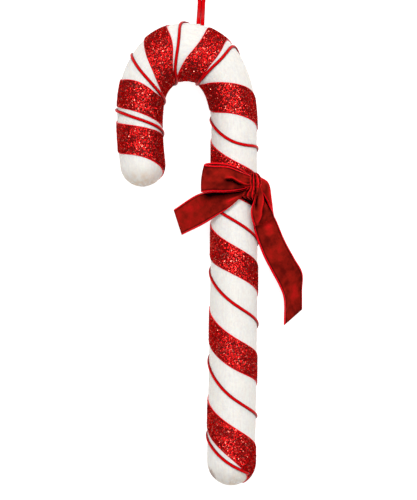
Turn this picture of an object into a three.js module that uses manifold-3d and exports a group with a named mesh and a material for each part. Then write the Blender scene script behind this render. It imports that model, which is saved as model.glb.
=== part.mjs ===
// A hanging candy-cane ornament for a Christmas tree, 305 mm long: a white frosted foam cane,
// wound with one wide glitter ribbon and one thin satin cord, with a velvet bow tied on the shaft
// and a narrow ribbon hanger sewn into the crown.
// Millimetres. The cane lies on its back on z = 0 with its bow up; +Y runs towards the crown.

import * as THREE from 'three';
import Module from 'manifold-3d';

// ---------------------------------------------------------------- driving dimensions

// Middle line of the cane, from the centre of the hook's round tip, over the crown, down the shaft
// to the centre of the round foot: x, y.
const CANE_LINE = [
  [-43.8, 57.9], [-45.0, 70.0], [-45.6, 90.0], [-43.6, 107.1], [-38.1, 119.0], [-28.2, 128.7],
  [-14.3, 132.3], [-0.4, 127.8], [8.8, 117.8], [14.1, 105.1], [16.5, 90.6], [16.8, 74.1],
  [16.5, -31.5], [14.8, -137.8],
];
// Radius of the foam at a few stations, which are distances along the middle line from the tip.
const CANE_RADIUS = [[0, 14.65], [165, 15.0], [270, 15.6], [377, 15.9]];
const CROWN_STATION = 90; // the top of the bend, where the cane is fattest
const CROWN_REACH = 30;
const CROWN_EXTRA_WIDTH = 4.0;
const CROWN_EXTRA_HEIGHT = 1.6;
const CANE_CLEARANCE = 0.7; // the foam lies this far above the table, on its own windings
const CANE_SIDES = 24;
const CANE_STEP = 7.5;
const DOME_STEPS = 5;

// The glitter ribbon. Each row is one turn: the stations of its edge nearer the hook's tip, then of
// its edge nearer the foot, where that edge crosses the side facing the hook's gap, the front and
// the outer side of the cane.
const STRIPE_TURNS = [
  { tipEdge: [-8.5, 4.5, 9.5], footEdge: [19.0, 24.4, 28.8] },
  { tipEdge: [24.0, 33.1, 37.4], footEdge: [43.0, 52.2, 51.8] },
  { tipEdge: [44.8, 63.8, 73.3], footEdge: [66.2, 82.3, 84.3] },
  { tipEdge: [70.0, 95.5, 100.0], footEdge: [113.6, 111.1, 109.8] },
  { tipEdge: [115.8, 127.7, 139.1], footEdge: [142.6, 148.8, 157.4] },
  { tipEdge: [164.5, 179.0, 190.3], footEdge: [184.8, 202.5, 213.2] },
  { tipEdge: [219.6, 234.3, 247.6], footEdge: [241.8, 253.5, 266.7] },
  { tipEdge: [276.0, 293.4, 306.5], footEdge: [297.6, 314.5, 325.6] },
  { tipEdge: [335.0, 351.5, 366.4], footEdge: [353.6, 374.1, 400.0] },
];
const STRIPE_STEPS_PER_TURN = 26;
const STRIPE_FIRST_STEP = 17;
const STRIPE_LAST_STEP = 243;
const STRIPE_COLUMNS = 4;
const STRIPE_GAP = 0.3; // air between the foam and the ribbon
const STRIPE_THICKNESS = 0.6;
const STRIPE_DOME_LIFT = 0.9; // it bridges the domes in short flats, so it stands off them more
const STRIPE_DOME_REACH = 4; // over this far on each side of where a dome begins
const STRIPE_TIP_LIMIT = -16; // how far the ribbon reaches over the hook's round tip
const STRIPE_FOOT_OVERRUN = 17; // and past the centre of the foot's dome

// The satin cord runs between the turns of the glitter ribbon. Stations as above, with a fourth
// for the underside.
const CORD_TURNS = [
  [20.2, 29.0, 35.4, 37.6],
  [43.9, 57.0, 64.4, 65.5],
  [68.2, 85.2, 90.2, 103.4],
  [114.7, 113.4, 113.4, 136.0],
  [150.7, 167.0, 170.4, 181.0],
  [203.1, 218.2, 232.0, 240.0],
  [251.9, 272.2, 286.2, 298.0],
  [310.8, 333.4, 346.6, 353.0],
  [358.6, 376.6, 398.0, 400.0],
];
const CORD_SIDES = 6;
const CORD_STEPS_PER_TURN = 24;
const CORD_WIDTH = 2.8;
const CORD_HEIGHT = 1.4;
const CORD_GAP = 0.3;
const CORD_START = 0.68; // in turns
const CORD_END = 9.1;
const CORD_FLOOR = 0.1;
const CLIMB_HEIGHT = 1.0; // how much higher the cord runs where it lies on the ribbon's edge
const CLIMB_NEAR = 2.0; // it is all the way up with less room than this beside the ribbon
const CLIMB_FAR = 3.2; // and all the way down with more than this
const CORD_SLANT = 0.87; // the share of the room along the cane that is left across the cord
const CORD_LEVEL = [0.72, 0.9]; // how squarely it faces the table where it doesn't climb at all
const CORD_TANGENT_STEP = 0.002; // in turns

// The velvet bow, of one ribbon 19 mm wide. Each row gives the two edges of the ribbon at one
// place along it: x, y, z of one edge, then of the other.
const VELVET_THICKNESS = 1.0;
const VELVET_STEPS_PER_ROW = 3;
const VELVET_COLUMNS = 4;
const LEFT_LOOP = [
  [[27.4, 49.4, 35.2], [27.4, 42.6, 34.8]],
  [[22.2, 51.5, 38.2], [21.5, 41.2, 38.0]],
  [[12.5, 55.3, 41.0], [11.2, 40.1, 40.6]],
  [[2.8, 55.9, 41.0], [0.9, 40.3, 40.6]],
  [[-2.4, 56.7, 38.6], [-4.4, 39.5, 38.4]],
  [[-1.7, 57.6, 36.6], [-4.0, 38.8, 36.4]],
  [[8.6, 57.9, 36.0], [7.3, 38.4, 35.9]],
  [[18.3, 55.2, 36.0], [17.1, 39.7, 35.9]],
  [[27.5, 49.4, 34.0], [27.5, 42.4, 33.8]],
];
const RIGHT_LOOP = [
  [[31.0, 39.8, 34.8], [34.0, 43.2, 33.8]],
  [[29.0, 33.2, 38.2], [36.6, 37.0, 35.4]],
  [[27.2, 26.7, 38.4], [39.8, 31.4, 33.6]],
  [[28.1, 20.3, 36.4], [42.2, 25.4, 30.2]],
  [[29.4, 17.1, 34.0], [43.1, 22.9, 26.8]],
  [[28.7, 19.7, 32.2], [42.5, 25.7, 24.8]],
  [[28.6, 26.2, 32.0], [41.2, 32.3, 25.2]],
  [[30.4, 34.0, 33.2], [37.4, 40.6, 29.4]],
  [[31.8, 40.3, 32.6], [32.6, 45.2, 31.2]],
];
const LEFT_TAIL = [
  [[27.5, 41.6, 32.6], [27.5, 36.8, 32.2]],
  [[21.6, 40.1, 33.7], [20.3, 34.9, 33.5]],
  [[12.6, 39.4, 33.2], [13.2, 28.7, 33.0]],
  [[1.5, 39.0, 29.6], [4.1, 23.0, 29.4]],
  [[-7.7, 37.0, 21.5], [-4.4, 17.9, 21.5]],
  [[-23.2, 28.4, 9.0], [-17.7, 11.5, 8.0]],
];
const RIGHT_TAIL = [
  [[29.8, 37.6, 30.2], [33.2, 39.6, 28.8]],
  [[29.4, 28.8, 29.6], [37.6, 31.6, 22.4]],
  [[28.8, 18.4, 29.6], [43.6, 22.5, 20.5]],
  [[34.9, 0.2, 26.5], [50.3, 8.1, 18.3]],
  [[41.6, -13.0, 21.5], [57.1, -4.1, 14.0]],
  [[46.0, -21.6, 18.5], [62.1, -13.5, 9.5]],
  [[49.1, -30.2, 16.5], [62.0, -25.3, 3.2]],
  [[49.9, -48.2, 13.0], [62.6, -38.1, 0.8]],
];
const KNOT_STATION = 195.8;
const KNOT_ANGLE = 127.6; // degrees round the shaft from the side facing the gap
const KNOT_LIFT = 5.7; // from the foam to the knot's centre
const KNOT_HALF_ACROSS = 5.2;
const KNOT_HALF_ALONG = 9.0;
const KNOT_HALF_DEEP = 4.4;
const KNOT_SQUARENESS = 2.5;
const KNOT_PLEATS = 9;
const KNOT_PLEAT_DEPTH = 0.05;
const KNOT_SIDES = 27;
const KNOT_RINGS = 9;
const PIECE_GAP = 0.3; // air where one velvet piece comes out of the knot
const TIE_STATIONS = [191.5, 194.25, 197.0]; // the narrow band that ties the bow round the shaft
const TIE_ANGLES = [131, 484]; // degrees round the shaft, both ends inside the knot
const TIE_STEPS = 30;
const TIE_LIFT = 2.2;
const TIE_THICKNESS = 1.0;
const TIE_FLATTENED = 0.4; // its thickness where the shaft presses it on the table
const OVER_WINDINGS = 2.5; // how far the velvet keeps off the foam, to clear ribbon and cord
const OVER_TIE = 3.6; // and to clear the tie band
const TIE_REACH = [3.6, 6.5]; // from the band's middle, along the shaft
const RIBBON_TANGENT_STEP = 0.01; // as a share of a ribbon's length
// The front of a loop bulges, and a pleat runs out from the knot. Places are shares of the length.
const LOOP_FRONT = [0.45, 0.6]; // where the front turns over into the back
const LOOP_BULGE = 1.6;
const LOOP_BULGE_GROWS = [0, 0.25];
const LOOP_PLEAT = 3.2;
const LOOP_PLEAT_HALF_WIDTH = 0.35; // as a share of half the ribbon's width
const LOOP_PLEAT_FADES = [0.05, 0.34];
const LEFT_TAIL_WAVE = { count: 2, height: 0.5 };
const RIGHT_TAIL_WAVE = { count: 3, height: 0.6 };

// The hanger, a loop of narrow satin ribbon: y, z and half the distance between its two strands.
const HANGER_ROUTE = [
  [151.2, 17.4, 1.35], [154.0, 16.0, 1.35], [157.0, 11.6, 1.38], [160.0, 6.4, 1.4],
  [163.5, 2.5, 1.45], [168.5, 0.8, 1.6], [175.0, 0.6, 2.4], [183.0, 0.6, 3.6], [189.0, 0.6, 3.9],
  [193.0, 0.6, 2.4], [194.4, 0.6, 0.0],
];
const HANGER_X = -5.5; // where it leaves the crown
const HANGER_LEAN = 0.055; // sideways drift for each millimetre upwards
const HANGER_WIDTH = 2.4;
const HANGER_THICKNESS = 0.9;
const HANGER_SIDES = 8;
const HANGER_STEPS = 36;

// ---------------------------------------------------------------- finishes

const finish = (name, color, roughness, metalness = 0) =>
  new THREE.MeshStandardMaterial({ name, color, roughness, metalness });

const FROSTED_WHITE = finish('frosted white', 0xf4f2ee, 0.75);
const RED_GLITTER = finish('red glitter', 0xa3161c, 0.4, 0.3);
const RED_SATIN = finish('red satin', 0xc4121c, 0.45);
const RED_VELVET = finish('red velvet', 0x9c1620, 0.9);

// ---------------------------------------------------------------- closed meshes

const { lerp, smoothstep, degToRad } = THREE.MathUtils;

// Builds an indexed geometry with its faces pointing out, whichever way round they were listed.
function closedMesh(points, faces) {
  let volume = 0;
  for (const [a, b, c] of faces) {
    volume += points[a].dot(new THREE.Vector3().crossVectors(points[b], points[c]));
  }
  const index = faces.flatMap(([a, b, c]) => (volume < 0 ? [a, c, b] : [a, b, c]));
  const geometry = new THREE.BufferGeometry();
  const coordinates = points.flatMap((p) => p.toArray());
  geometry.setAttribute('position', new THREE.Float32BufferAttribute(coordinates, 3));
  geometry.setIndex(index);
  geometry.computeVertexNormals();
  return geometry;
}

// A tube or a bulb: rings of equal size, closed at both ends by a fan round a point.
function ringSolid(rings, startPoint, endPoint) {
  const sides = rings[0].length;
  const points = [...rings.flat(), startPoint, endPoint];
  const first = points.length - 2;
  const last = points.length - 1;
  const faces = [];
  for (let i = 0; i < rings.length - 1; i += 1) {
    for (let j = 0; j < sides; j += 1) {
      const next = (j + 1) % sides;
      const a = i * sides + j;
      const b = i * sides + next;
      faces.push([a, b, a + sides], [b, b + sides, a + sides]);
    }
  }
  const lastRing = (rings.length - 1) * sides;
  for (let j = 0; j < sides; j += 1) {
    const next = (j + 1) % sides;
    faces.push([first, next, j], [last, lastRing + j, lastRing + next]);
  }
  return closedMesh(points, faces);
}

// A sheet with thickness: two grids of equal size, joined along their four borders.
function sheetSolid(outer, inner) {
  const rows = outer.length;
  const columns = outer[0].length;
  const points = [...outer.flat(), ...inner.flat()];
  const under = rows * columns;
  const faces = [];
  const quad = (a, b, c, d) => faces.push([a, b, c], [a, c, d]);
  for (let i = 0; i < rows - 1; i += 1) {
    for (let j = 0; j < columns - 1; j += 1) {
      const a = i * columns + j;
      quad(a, a + 1, a + columns + 1, a + columns);
      quad(under + a, under + a + columns, under + a + columns + 1, under + a + 1);
    }
    const left = i * columns;
    const right = left + columns - 1;
    quad(left, left + columns, under + left + columns, under + left);
    quad(right, under + right, under + right + columns, right + columns);
  }
  const lastRow = (rows - 1) * columns;
  for (let j = 0; j < columns - 1; j += 1) {
    quad(j, under + j, under + j + 1, j + 1);
    quad(lastRow + j, lastRow + j + 1, under + lastRow + j + 1, under + lastRow + j);
  }
  return closedMesh(points, faces);
}

const wasm = await Module();
wasm.setup();

function toManifold(geometry) {
  return new wasm.Manifold(new wasm.Mesh({
    numProp: 3,
    vertProperties: new Float32Array(geometry.attributes.position.array),
    triVerts: new Uint32Array(geometry.index.array),
  }));
}

// What is left of a solid outside a cutter: its one large piece.
function cutAway(geometry, cutter) {
  const pieces = toManifold(geometry).subtract(toManifold(cutter)).decompose();
  pieces.sort((a, b) => b.volume() - a.volume());
  const mesh = pieces[0].getMesh();
  const result = new THREE.BufferGeometry();
  result.setAttribute('position', new THREE.BufferAttribute(new Float32Array(mesh.vertProperties), 3));
  result.setIndex(new THREE.BufferAttribute(new Uint32Array(mesh.triVerts), 1));
  result.computeVertexNormals();
  return result;
}

// ---------------------------------------------------------------- the cane's surface

const caneCurve = new THREE.CatmullRomCurve3(
  CANE_LINE.map(([x, y]) => new THREE.Vector3(x, y, 0)), false, 'centripetal',
);
caneCurve.arcLengthDivisions = 2400;
const CANE_LENGTH = caneCurve.getLength();

// Straight lines between [where, value] pairs.
function between(table, where) {
  const last = table.length - 2;
  let i = 0;
  while (i < last && where > table[i + 1][0]) i += 1;
  const [from, a] = table[i];
  const [to, b] = table[i + 1];
  return lerp(a, b, (where - from) / (to - from));
}

// Half width in the plane of the cane, and half height.
function caneHalves(station) {
  const radius = between(CANE_RADIUS, station);
  const bulge = Math.exp(-(((station - CROWN_STATION) / CROWN_REACH) ** 2));
  return [radius + CROWN_EXTRA_WIDTH * bulge, radius + CROWN_EXTRA_HEIGHT * bulge];
}

// The point at a station and an angle round the cane, lifted off the foam. At 0 degrees it faces
// the hook's gap, at 90 up, at 180 outwards and at 270 down. Stations below 0 and beyond the
// cane's length run over the domes of the tip and the foot.
function canePoint(station, angle, lift = 0) {
  const along = THREE.MathUtils.clamp(station, 0, CANE_LENGTH);
  const centre = caneCurve.getPointAt(along / CANE_LENGTH);
  const tangent = caneCurve.getTangentAt(along / CANE_LENGTH);
  const outward = new THREE.Vector3(-tangent.y, tangent.x, 0);
  const [halfWidth, halfHeight] = caneHalves(along);
  const dome = (station - along) / halfWidth;
  const shrink = Math.cos(dome);
  const axisHeight = CANE_CLEARANCE + halfHeight;
  return centre
    .addScaledVector(tangent, Math.sin(dome) * (halfWidth + lift))
    .addScaledVector(outward, -Math.cos(angle) * (halfWidth + lift) * shrink)
    .add(new THREE.Vector3(0, 0, axisHeight + Math.sin(angle) * (halfHeight + lift) * shrink));
}

function raisedTo(point, floor) {
  return new THREE.Vector3(point.x, point.y, Math.max(point.z, floor));
}

function caneBody() {
  const tipRadius = caneHalves(0)[0];
  const footRadius = caneHalves(CANE_LENGTH)[0];
  const stations = [];
  for (let i = 1; i <= DOME_STEPS; i += 1) {
    stations.push(-tipRadius * (Math.PI / 2) * (1 - i / (DOME_STEPS + 1)));
  }
  const steps = Math.round(CANE_LENGTH / CANE_STEP);
  for (let i = 0; i <= steps; i += 1) stations.push((CANE_LENGTH * i) / steps);
  for (let i = 1; i <= DOME_STEPS; i += 1) {
    stations.push(CANE_LENGTH + (footRadius * (Math.PI / 2) * i) / (DOME_STEPS + 1));
  }
  const angles = Array.from({ length: CANE_SIDES }, (_, j) => (2 * Math.PI * (j + 0.5)) / CANE_SIDES);
  const rings = stations.map((station) => angles.map((angle) => canePoint(station, angle)));
  const quarter = Math.PI / 2;
  return ringSolid(
    rings,
    canePoint(-tipRadius * quarter, 0),
    canePoint(CANE_LENGTH + footRadius * quarter, 0),
  );
}

// ---------------------------------------------------------------- the windings

// A smooth curve through [turn, station] knots, at a turn that may lie past either end.
function smoothThrough(knots, turn) {
  const last = knots.length - 1;
  let i = 0;
  while (i < last - 1 && turn > knots[i + 1][0]) i += 1;
  const slope = (k) => {
    const a = knots[Math.max(k - 1, 0)];
    const b = knots[Math.min(k + 1, last)];
    return (b[1] - a[1]) / (b[0] - a[0]);
  };
  const [from, start] = knots[i];
  const [to, end] = knots[i + 1];
  const span = to - from;
  if (turn < from) return start + slope(i) * (turn - from);
  if (turn > to) return end + slope(i + 1) * (turn - to);
  const u = (turn - from) / span;
  return (
    (2 * u ** 3 - 3 * u ** 2 + 1) * start + (u ** 3 - 2 * u ** 2 + u) * span * slope(i)
    + (3 * u ** 2 - 2 * u ** 3) * end + (u ** 3 - u ** 2) * span * slope(i + 1)
  );
}

// Knots of a row of stations that begins on the gap side, a quarter turn before the front.
const turnKnots = (stations, turn) => stations.map((station, side) => [turn - 0.25 + side / 4, station]);
const TIP_EDGE = STRIPE_TURNS.flatMap((row, k) => turnKnots(row.tipEdge, k + 1));
const FOOT_EDGE = STRIPE_TURNS.flatMap((row, k) => turnKnots(row.footEdge, k + 1));
const CORD_KNOTS = CORD_TURNS.flatMap((row, k) => turnKnots(row, k + 1));

const turnAngle = (turn) => 2 * Math.PI * turn + Math.PI / 2;
const stripeTurn = (step) => (step + 0.5) / STRIPE_STEPS_PER_TURN;
const STRIPE_END = stripeTurn(STRIPE_LAST_STEP);

function stripeEdges(turn) {
  const limit = CANE_LENGTH + STRIPE_FOOT_OVERRUN;
  return [
    Math.max(smoothThrough(TIP_EDGE, turn), STRIPE_TIP_LIMIT),
    Math.min(smoothThrough(FOOT_EDGE, turn), limit),
  ];
}

function glitterStripe() {
  const outer = [];
  const inner = [];
  for (let step = STRIPE_FIRST_STEP; step <= STRIPE_LAST_STEP; step += 1) {
    const turn = stripeTurn(step);
    const [tipEdge, footEdge] = stripeEdges(turn);
    const shares = Array.from({ length: STRIPE_COLUMNS + 1 }, (_, j) => j / STRIPE_COLUMNS);
    const row = (lift) => shares.map((share) => {
      const station = lerp(tipEdge, footEdge, share);
      const overDome = Math.max(-station, station - CANE_LENGTH);
      const raised = lift + STRIPE_DOME_LIFT * smoothstep(overDome, -STRIPE_DOME_REACH, STRIPE_DOME_REACH);
      return raisedTo(canePoint(station, turnAngle(turn), raised), 0);
    });
    outer.push(row(STRIPE_GAP + STRIPE_THICKNESS));
    inner.push(row(STRIPE_GAP));
  }
  return sheetSolid(outer, inner);
}

function middle(ring) {
  return ring.reduce((sum, p) => sum.add(p), new THREE.Vector3()).divideScalar(ring.length);
}

// How much the cord is raised at a turn: it climbs onto the ribbon where the turns close up.
function cordClimb(turn, station) {
  const angle = turnAngle(turn);
  const stretch = canePoint(station + 0.5, angle).distanceTo(canePoint(station - 0.5, angle));
  const toFootEdge = station - stripeEdges(turn)[1];
  const toTipEdge = turn + 1 <= STRIPE_END ? stripeEdges(turn + 1)[0] - station : Infinity;
  const room = Math.min(toFootEdge, toTipEdge) * stretch * CORD_SLANT;
  const underside = smoothstep(-Math.sin(angle), ...CORD_LEVEL);
  return CLIMB_HEIGHT * (1 - smoothstep(room, CLIMB_NEAR, CLIMB_FAR)) * (1 - underside);
}

function cordMiddle(turn) {
  const station = smoothThrough(CORD_KNOTS, turn);
  const lift = CORD_GAP + CORD_HEIGHT / 2 + cordClimb(turn, station);
  return { point: canePoint(station, turnAngle(turn), lift), foot: canePoint(station, turnAngle(turn)) };
}

function satinCord() {
  const steps = Math.round((CORD_END - CORD_START) * CORD_STEPS_PER_TURN);
  const turns = Array.from({ length: steps + 1 }, (_, i) => lerp(CORD_START, CORD_END, i / steps));
  const toCorner = 1 / Math.sin(Math.PI / 3); // from half the height of the six-sided section
  const rings = turns.map((turn) => {
    const { point, foot } = cordMiddle(turn);
    const ahead = cordMiddle(turn + CORD_TANGENT_STEP).point;
    const along = ahead.sub(cordMiddle(turn - CORD_TANGENT_STEP).point).normalize();
    const up = point.clone().sub(foot);
    up.addScaledVector(along, -up.dot(along)).normalize();
    const across = new THREE.Vector3().crossVectors(along, up);
    return Array.from({ length: CORD_SIDES }, (_, j) => {
      const a = (2 * Math.PI * j) / CORD_SIDES;
      const corner = point.clone()
        .addScaledVector(across, (Math.cos(a) * CORD_WIDTH) / 2)
        .addScaledVector(up, (Math.sin(a) * toCorner * CORD_HEIGHT) / 2);
      return raisedTo(corner, CORD_FLOOR);
    });
  });
  return ringSolid(rings, middle(rings[0]), middle(rings[rings.length - 1]));
}

// ---------------------------------------------------------------- the bow

function knotShape(grow) {
  const angle = degToRad(KNOT_ANGLE);
  const centre = canePoint(KNOT_STATION, angle, KNOT_LIFT);
  const up = centre.clone().sub(canePoint(KNOT_STATION, angle)).normalize();
  const along = new THREE.Vector3(0, 1, 0);
  const across = new THREE.Vector3().crossVectors(along, up);
  const power = 2 / KNOT_SQUARENESS;
  const squared = (value) => Math.sign(value) * Math.abs(value) ** power;
  const rings = [];
  for (let i = 1; i <= KNOT_RINGS; i += 1) {
    const latitude = Math.PI * (i / (KNOT_RINGS + 1) - 0.5);
    rings.push(Array.from({ length: KNOT_SIDES }, (_, j) => {
      const a = (2 * Math.PI * j) / KNOT_SIDES;
      const pleat = grow > 0 ? 1 : 1 - KNOT_PLEAT_DEPTH * (0.5 - 0.5 * Math.cos(KNOT_PLEATS * a));
      const size = squared(Math.cos(latitude)) * pleat;
      return centre.clone()
        .addScaledVector(along, squared(Math.sin(latitude)) * (KNOT_HALF_ALONG + grow))
        .addScaledVector(across, squared(Math.cos(a)) * size * (KNOT_HALF_ACROSS + grow))
        .addScaledVector(up, squared(Math.sin(a)) * size * (KNOT_HALF_DEEP + grow));
    }));
  }
  const end = (side) => centre.clone().addScaledVector(along, side * (KNOT_HALF_ALONG + grow));
  return ringSolid(rings, end(-1), end(1));
}

// Moves a point of the velvet out from the shaft's axis until it clears what is wound round it.
function keepOffShaft(point) {
  const station = CANE_LENGTH - (point.y - CANE_LINE[CANE_LINE.length - 1][1]);
  const along = THREE.MathUtils.clamp(station, 0, CANE_LENGTH);
  const centre = caneCurve.getPointAt(along / CANE_LENGTH);
  const [halfWidth, halfHeight] = caneHalves(along);
  const fromTie = Math.abs(station - TIE_STATIONS[1]);
  const clearance = lerp(OVER_TIE, OVER_WINDINGS, smoothstep(fromTie, ...TIE_REACH));
  const axisHeight = CANE_CLEARANCE + halfHeight;
  const away = new THREE.Vector2(point.x - centre.x, point.z - axisHeight);
  const reach = Math.max(away.length(), halfWidth + clearance);
  away.setLength(reach);
  return new THREE.Vector3(centre.x + away.x, point.y, axisHeight + away.y);
}

// A ribbon through rows of its two edges. Where shape(u, v) isn't 0 it stands off the flat
// between the edges; u runs from 0 to 1 along it and v from -1 to 1 across.
function velvetRibbon(rows, stepsPerRow, columns, shape) {
  const edges = [0, 1].map((side) =>
    new THREE.CatmullRomCurve3(rows.map((row) => new THREE.Vector3(...row[side])), false, 'centripetal'));
  const steps = (rows.length - 1) * stepsPerRow;
  const at = (u, v) => {
    const [a, b] = edges.map((edge) => edge.getPoint(THREE.MathUtils.clamp(u, 0, 1)));
    const ahead = edges.map((edge) => edge.getPoint(Math.min(u + RIBBON_TANGENT_STEP, 1)));
    const behind = edges.map((edge) => edge.getPoint(Math.max(u - RIBBON_TANGENT_STEP, 0)));
    const along = ahead[0].add(ahead[1]).sub(behind[0]).sub(behind[1]).normalize();
    const normal = new THREE.Vector3().crossVectors(along, b.clone().sub(a)).normalize();
    return { point: a.lerp(b, (v + 1) / 2).addScaledVector(normal, shape(u, v)), normal };
  };
  const outer = [];
  const inner = [];
  for (let i = 0; i <= steps; i += 1) {
    const outerRow = [];
    const innerRow = [];
    for (let j = 0; j <= columns; j += 1) {
      const { point, normal } = at(i / steps, (2 * j) / columns - 1);
      const low = keepOffShaft(point.clone().addScaledVector(normal, -VELVET_THICKNESS / 2));
      innerRow.push(low);
      outerRow.push(low.clone().addScaledVector(normal, VELVET_THICKNESS));
    }
    outer.push(outerRow);
    inner.push(innerRow);
  }
  return sheetSolid(outer, inner);
}

function loopShape(u, v) {
  const bulge = LOOP_BULGE * (1 - v * v) * smoothstep(u, ...LOOP_BULGE_GROWS);
  const pleat = Math.exp(-((v / LOOP_PLEAT_HALF_WIDTH) ** 2)) * (1 - smoothstep(u, ...LOOP_PLEAT_FADES));
  return (bulge - LOOP_PLEAT * pleat) * (1 - smoothstep(u, ...LOOP_FRONT));
}

const tailShape = ({ count, height }) => (u, v) => height * Math.sin(count * u * Math.PI) * v * v;

function tieBand() {
  const [from, to] = TIE_ANGLES;
  const angles = Array.from({ length: TIE_STEPS + 1 }, (_, i) => degToRad(lerp(from, to, i / TIE_STEPS)));
  const rows = (lift, floor) =>
    angles.map((angle) => TIE_STATIONS.map((station) => raisedTo(canePoint(station, angle, lift), floor)));
  return sheetSolid(rows(TIE_LIFT + TIE_THICKNESS, 0), rows(TIE_LIFT, TIE_FLATTENED));
}

// ---------------------------------------------------------------- the hanger

function hangerLoop() {
  const strand = (side) => HANGER_ROUTE.map(([y, z, half]) =>
    new THREE.Vector3(HANGER_X + HANGER_LEAN * (y - HANGER_ROUTE[0][0]) + side * half, y, z));
  const route = new THREE.CatmullRomCurve3(
    [...strand(-1), ...strand(1).reverse().slice(1)], false, 'centripetal',
  );
  const rings = [];
  for (let i = 0; i <= HANGER_STEPS; i += 1) {
    const u = i / HANGER_STEPS;
    const along = route.getTangentAt(u);
    const across = new THREE.Vector3(along.y, -along.x, 0).normalize();
    const up = new THREE.Vector3().crossVectors(across, along).normalize();
    rings.push(Array.from({ length: HANGER_SIDES }, (_, j) => {
      const a = (2 * Math.PI * (j + 0.5)) / HANGER_SIDES;
      return route.getPointAt(u)
        .addScaledVector(across, (Math.cos(a) * HANGER_WIDTH) / 2)
        .addScaledVector(up, (Math.sin(a) * HANGER_THICKNESS) / 2);
    }));
  }
  return ringSolid(rings, route.getPointAt(0), route.getPointAt(1));
}

// ---------------------------------------------------------------- the ornament

const ornament = new THREE.Group();

function add(name, geometry, material) {
  const mesh = new THREE.Mesh(geometry, material);
  mesh.name = name;
  ornament.add(mesh);
}

// The ribbon's four pieces and the tie band stop just short of the knot they come out of.
const knotRoom = knotShape(PIECE_GAP);
const fromKnot = (geometry) => cutAway(geometry, knotRoom);
const bowPiece = (rows, shape) => fromKnot(velvetRibbon(rows, VELVET_STEPS_PER_ROW, VELVET_COLUMNS, shape));

add('cane_body', caneBody(), FROSTED_WHITE);
add('glitter_stripe', glitterStripe(), RED_GLITTER);
add('satin_cord', satinCord(), RED_SATIN);
add('bow_knot', knotShape(0), RED_VELVET);
add('bow_tie_band', fromKnot(tieBand()), RED_VELVET);
add('bow_loop_left', bowPiece(LEFT_LOOP, loopShape), RED_VELVET);
add('bow_loop_right', bowPiece(RIGHT_LOOP, loopShape), RED_VELVET);
add('bow_tail_left', bowPiece(LEFT_TAIL, tailShape(LEFT_TAIL_WAVE)), RED_VELVET);
add('bow_tail_right', bowPiece(RIGHT_TAIL, tailShape(RIGHT_TAIL_WAVE)), RED_VELVET);
add('hanger_loop', hangerLoop(), RED_SATIN);

export default ornament;
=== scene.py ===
"""Looks of a hanging candy-cane ornament, 305 mm long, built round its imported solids.

A frosted foam cane is wound with a wide glitter ribbon and a thin satin cord, has a velvet bow tied
on its shaft and hangs on a narrow ribbon. It lies on its back on z = 0 with the bow up, and +Y runs
towards the crown. Shapes are worked out in millimetres and stored in metres.
"""

import math
from typing import NamedTuple

import bpy
import numpy as np
from bpy.props import FloatProperty, FloatVectorProperty, IntProperty, PointerProperty
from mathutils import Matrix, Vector, noise


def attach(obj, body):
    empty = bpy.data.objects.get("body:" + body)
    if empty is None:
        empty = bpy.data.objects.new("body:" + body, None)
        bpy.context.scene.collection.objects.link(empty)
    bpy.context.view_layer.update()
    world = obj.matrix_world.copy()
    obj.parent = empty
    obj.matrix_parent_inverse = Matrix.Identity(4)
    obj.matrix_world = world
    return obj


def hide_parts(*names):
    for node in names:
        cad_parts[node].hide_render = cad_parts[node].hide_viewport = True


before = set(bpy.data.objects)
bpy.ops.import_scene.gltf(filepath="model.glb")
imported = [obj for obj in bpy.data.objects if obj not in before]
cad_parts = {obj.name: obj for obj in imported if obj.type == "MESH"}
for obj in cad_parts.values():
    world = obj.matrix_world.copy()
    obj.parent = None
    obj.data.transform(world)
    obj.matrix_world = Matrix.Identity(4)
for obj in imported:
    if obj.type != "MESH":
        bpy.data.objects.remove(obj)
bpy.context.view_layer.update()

bl_info = {
    "name": "Candy Cane Ornament",
    "version": (1, 0, 0),
    "blender": (4, 5, 0),
    "location": "View3D > Sidebar > Candy Cane",
    "description": "Frosted foam, glitter ribbon, satin cord and a velvet bow for a packed candy cane",
    "category": "Add Mesh",
}

MM = 0.001

# ------------------------------------------------------------------ sizes, in millimetres

# Middle line of the cane, from the centre of the hook's round tip, over the crown, down the shaft
# to the centre of the round foot: x, y.
CANE_LINE = [
    (-43.8, 57.9), (-45.0, 70.0), (-45.6, 90.0), (-43.6, 107.1), (-38.1, 119.0), (-28.2, 128.7),
    (-14.3, 132.3), (-0.4, 127.8), (8.8, 117.8), (14.1, 105.1), (16.5, 90.6), (16.8, 74.1),
    (16.5, -31.5), (14.8, -137.8),
]
# A station is a distance along that line. The cane is fuller round its crown.
CANE_RADIUS = [(0, 14.65), (165, 15.0), (270, 15.6), (377, 15.9)]  # (station, radius)
CROWN_STATION = 90
CROWN_REACH = 30
CROWN_EXTRA_WIDTH = 4.0
CROWN_EXTRA_HEIGHT = 1.6
CANE_CLEARANCE = 0.7  # the foam lies this far above the table, on its own windings
LINE_DIVISIONS = 2400
TANGENT_STEP = 0.0001  # as a share of a line
TABLE_GAP = 0.02  # what lies on the table stays this far above it

# The foam's skin: its grid, the soft lumps of its coat, and the gathers and the patchy warmer tint
# of its two round ends.
FOAM_STEP = 0.85
FOAM_SIDES = 112
FOAM_FLOOR = 0.4
LUMP_SIZE = 3.2
SMALL_LUMP_SIZE = 1.5
SMALL_LUMP_SHARE = 0.6
LUMP_LOWERING = 0.3  # as a share of a lump's height
GATHERS = 14
GATHER_DEPTH = 0.7
GATHER_OVER = (0.35, 0.95)  # shares of an end's dome
GATHER_WANDER = 1.3
GATHER_WANDER_SIZE = 9.0
TINT_OVER = (-0.05, 0.75)  # shares of an end's dome
TINT_MEAN = 0.9
TINT_PATCHES = 1.8
TINT_PATCH_SIZE = 2.6
TINT_MOST = 2.0
# Painted shade: the end tint is laid on more in the gathers' creases.
TINT_IN_CREASES = 0.5
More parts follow.
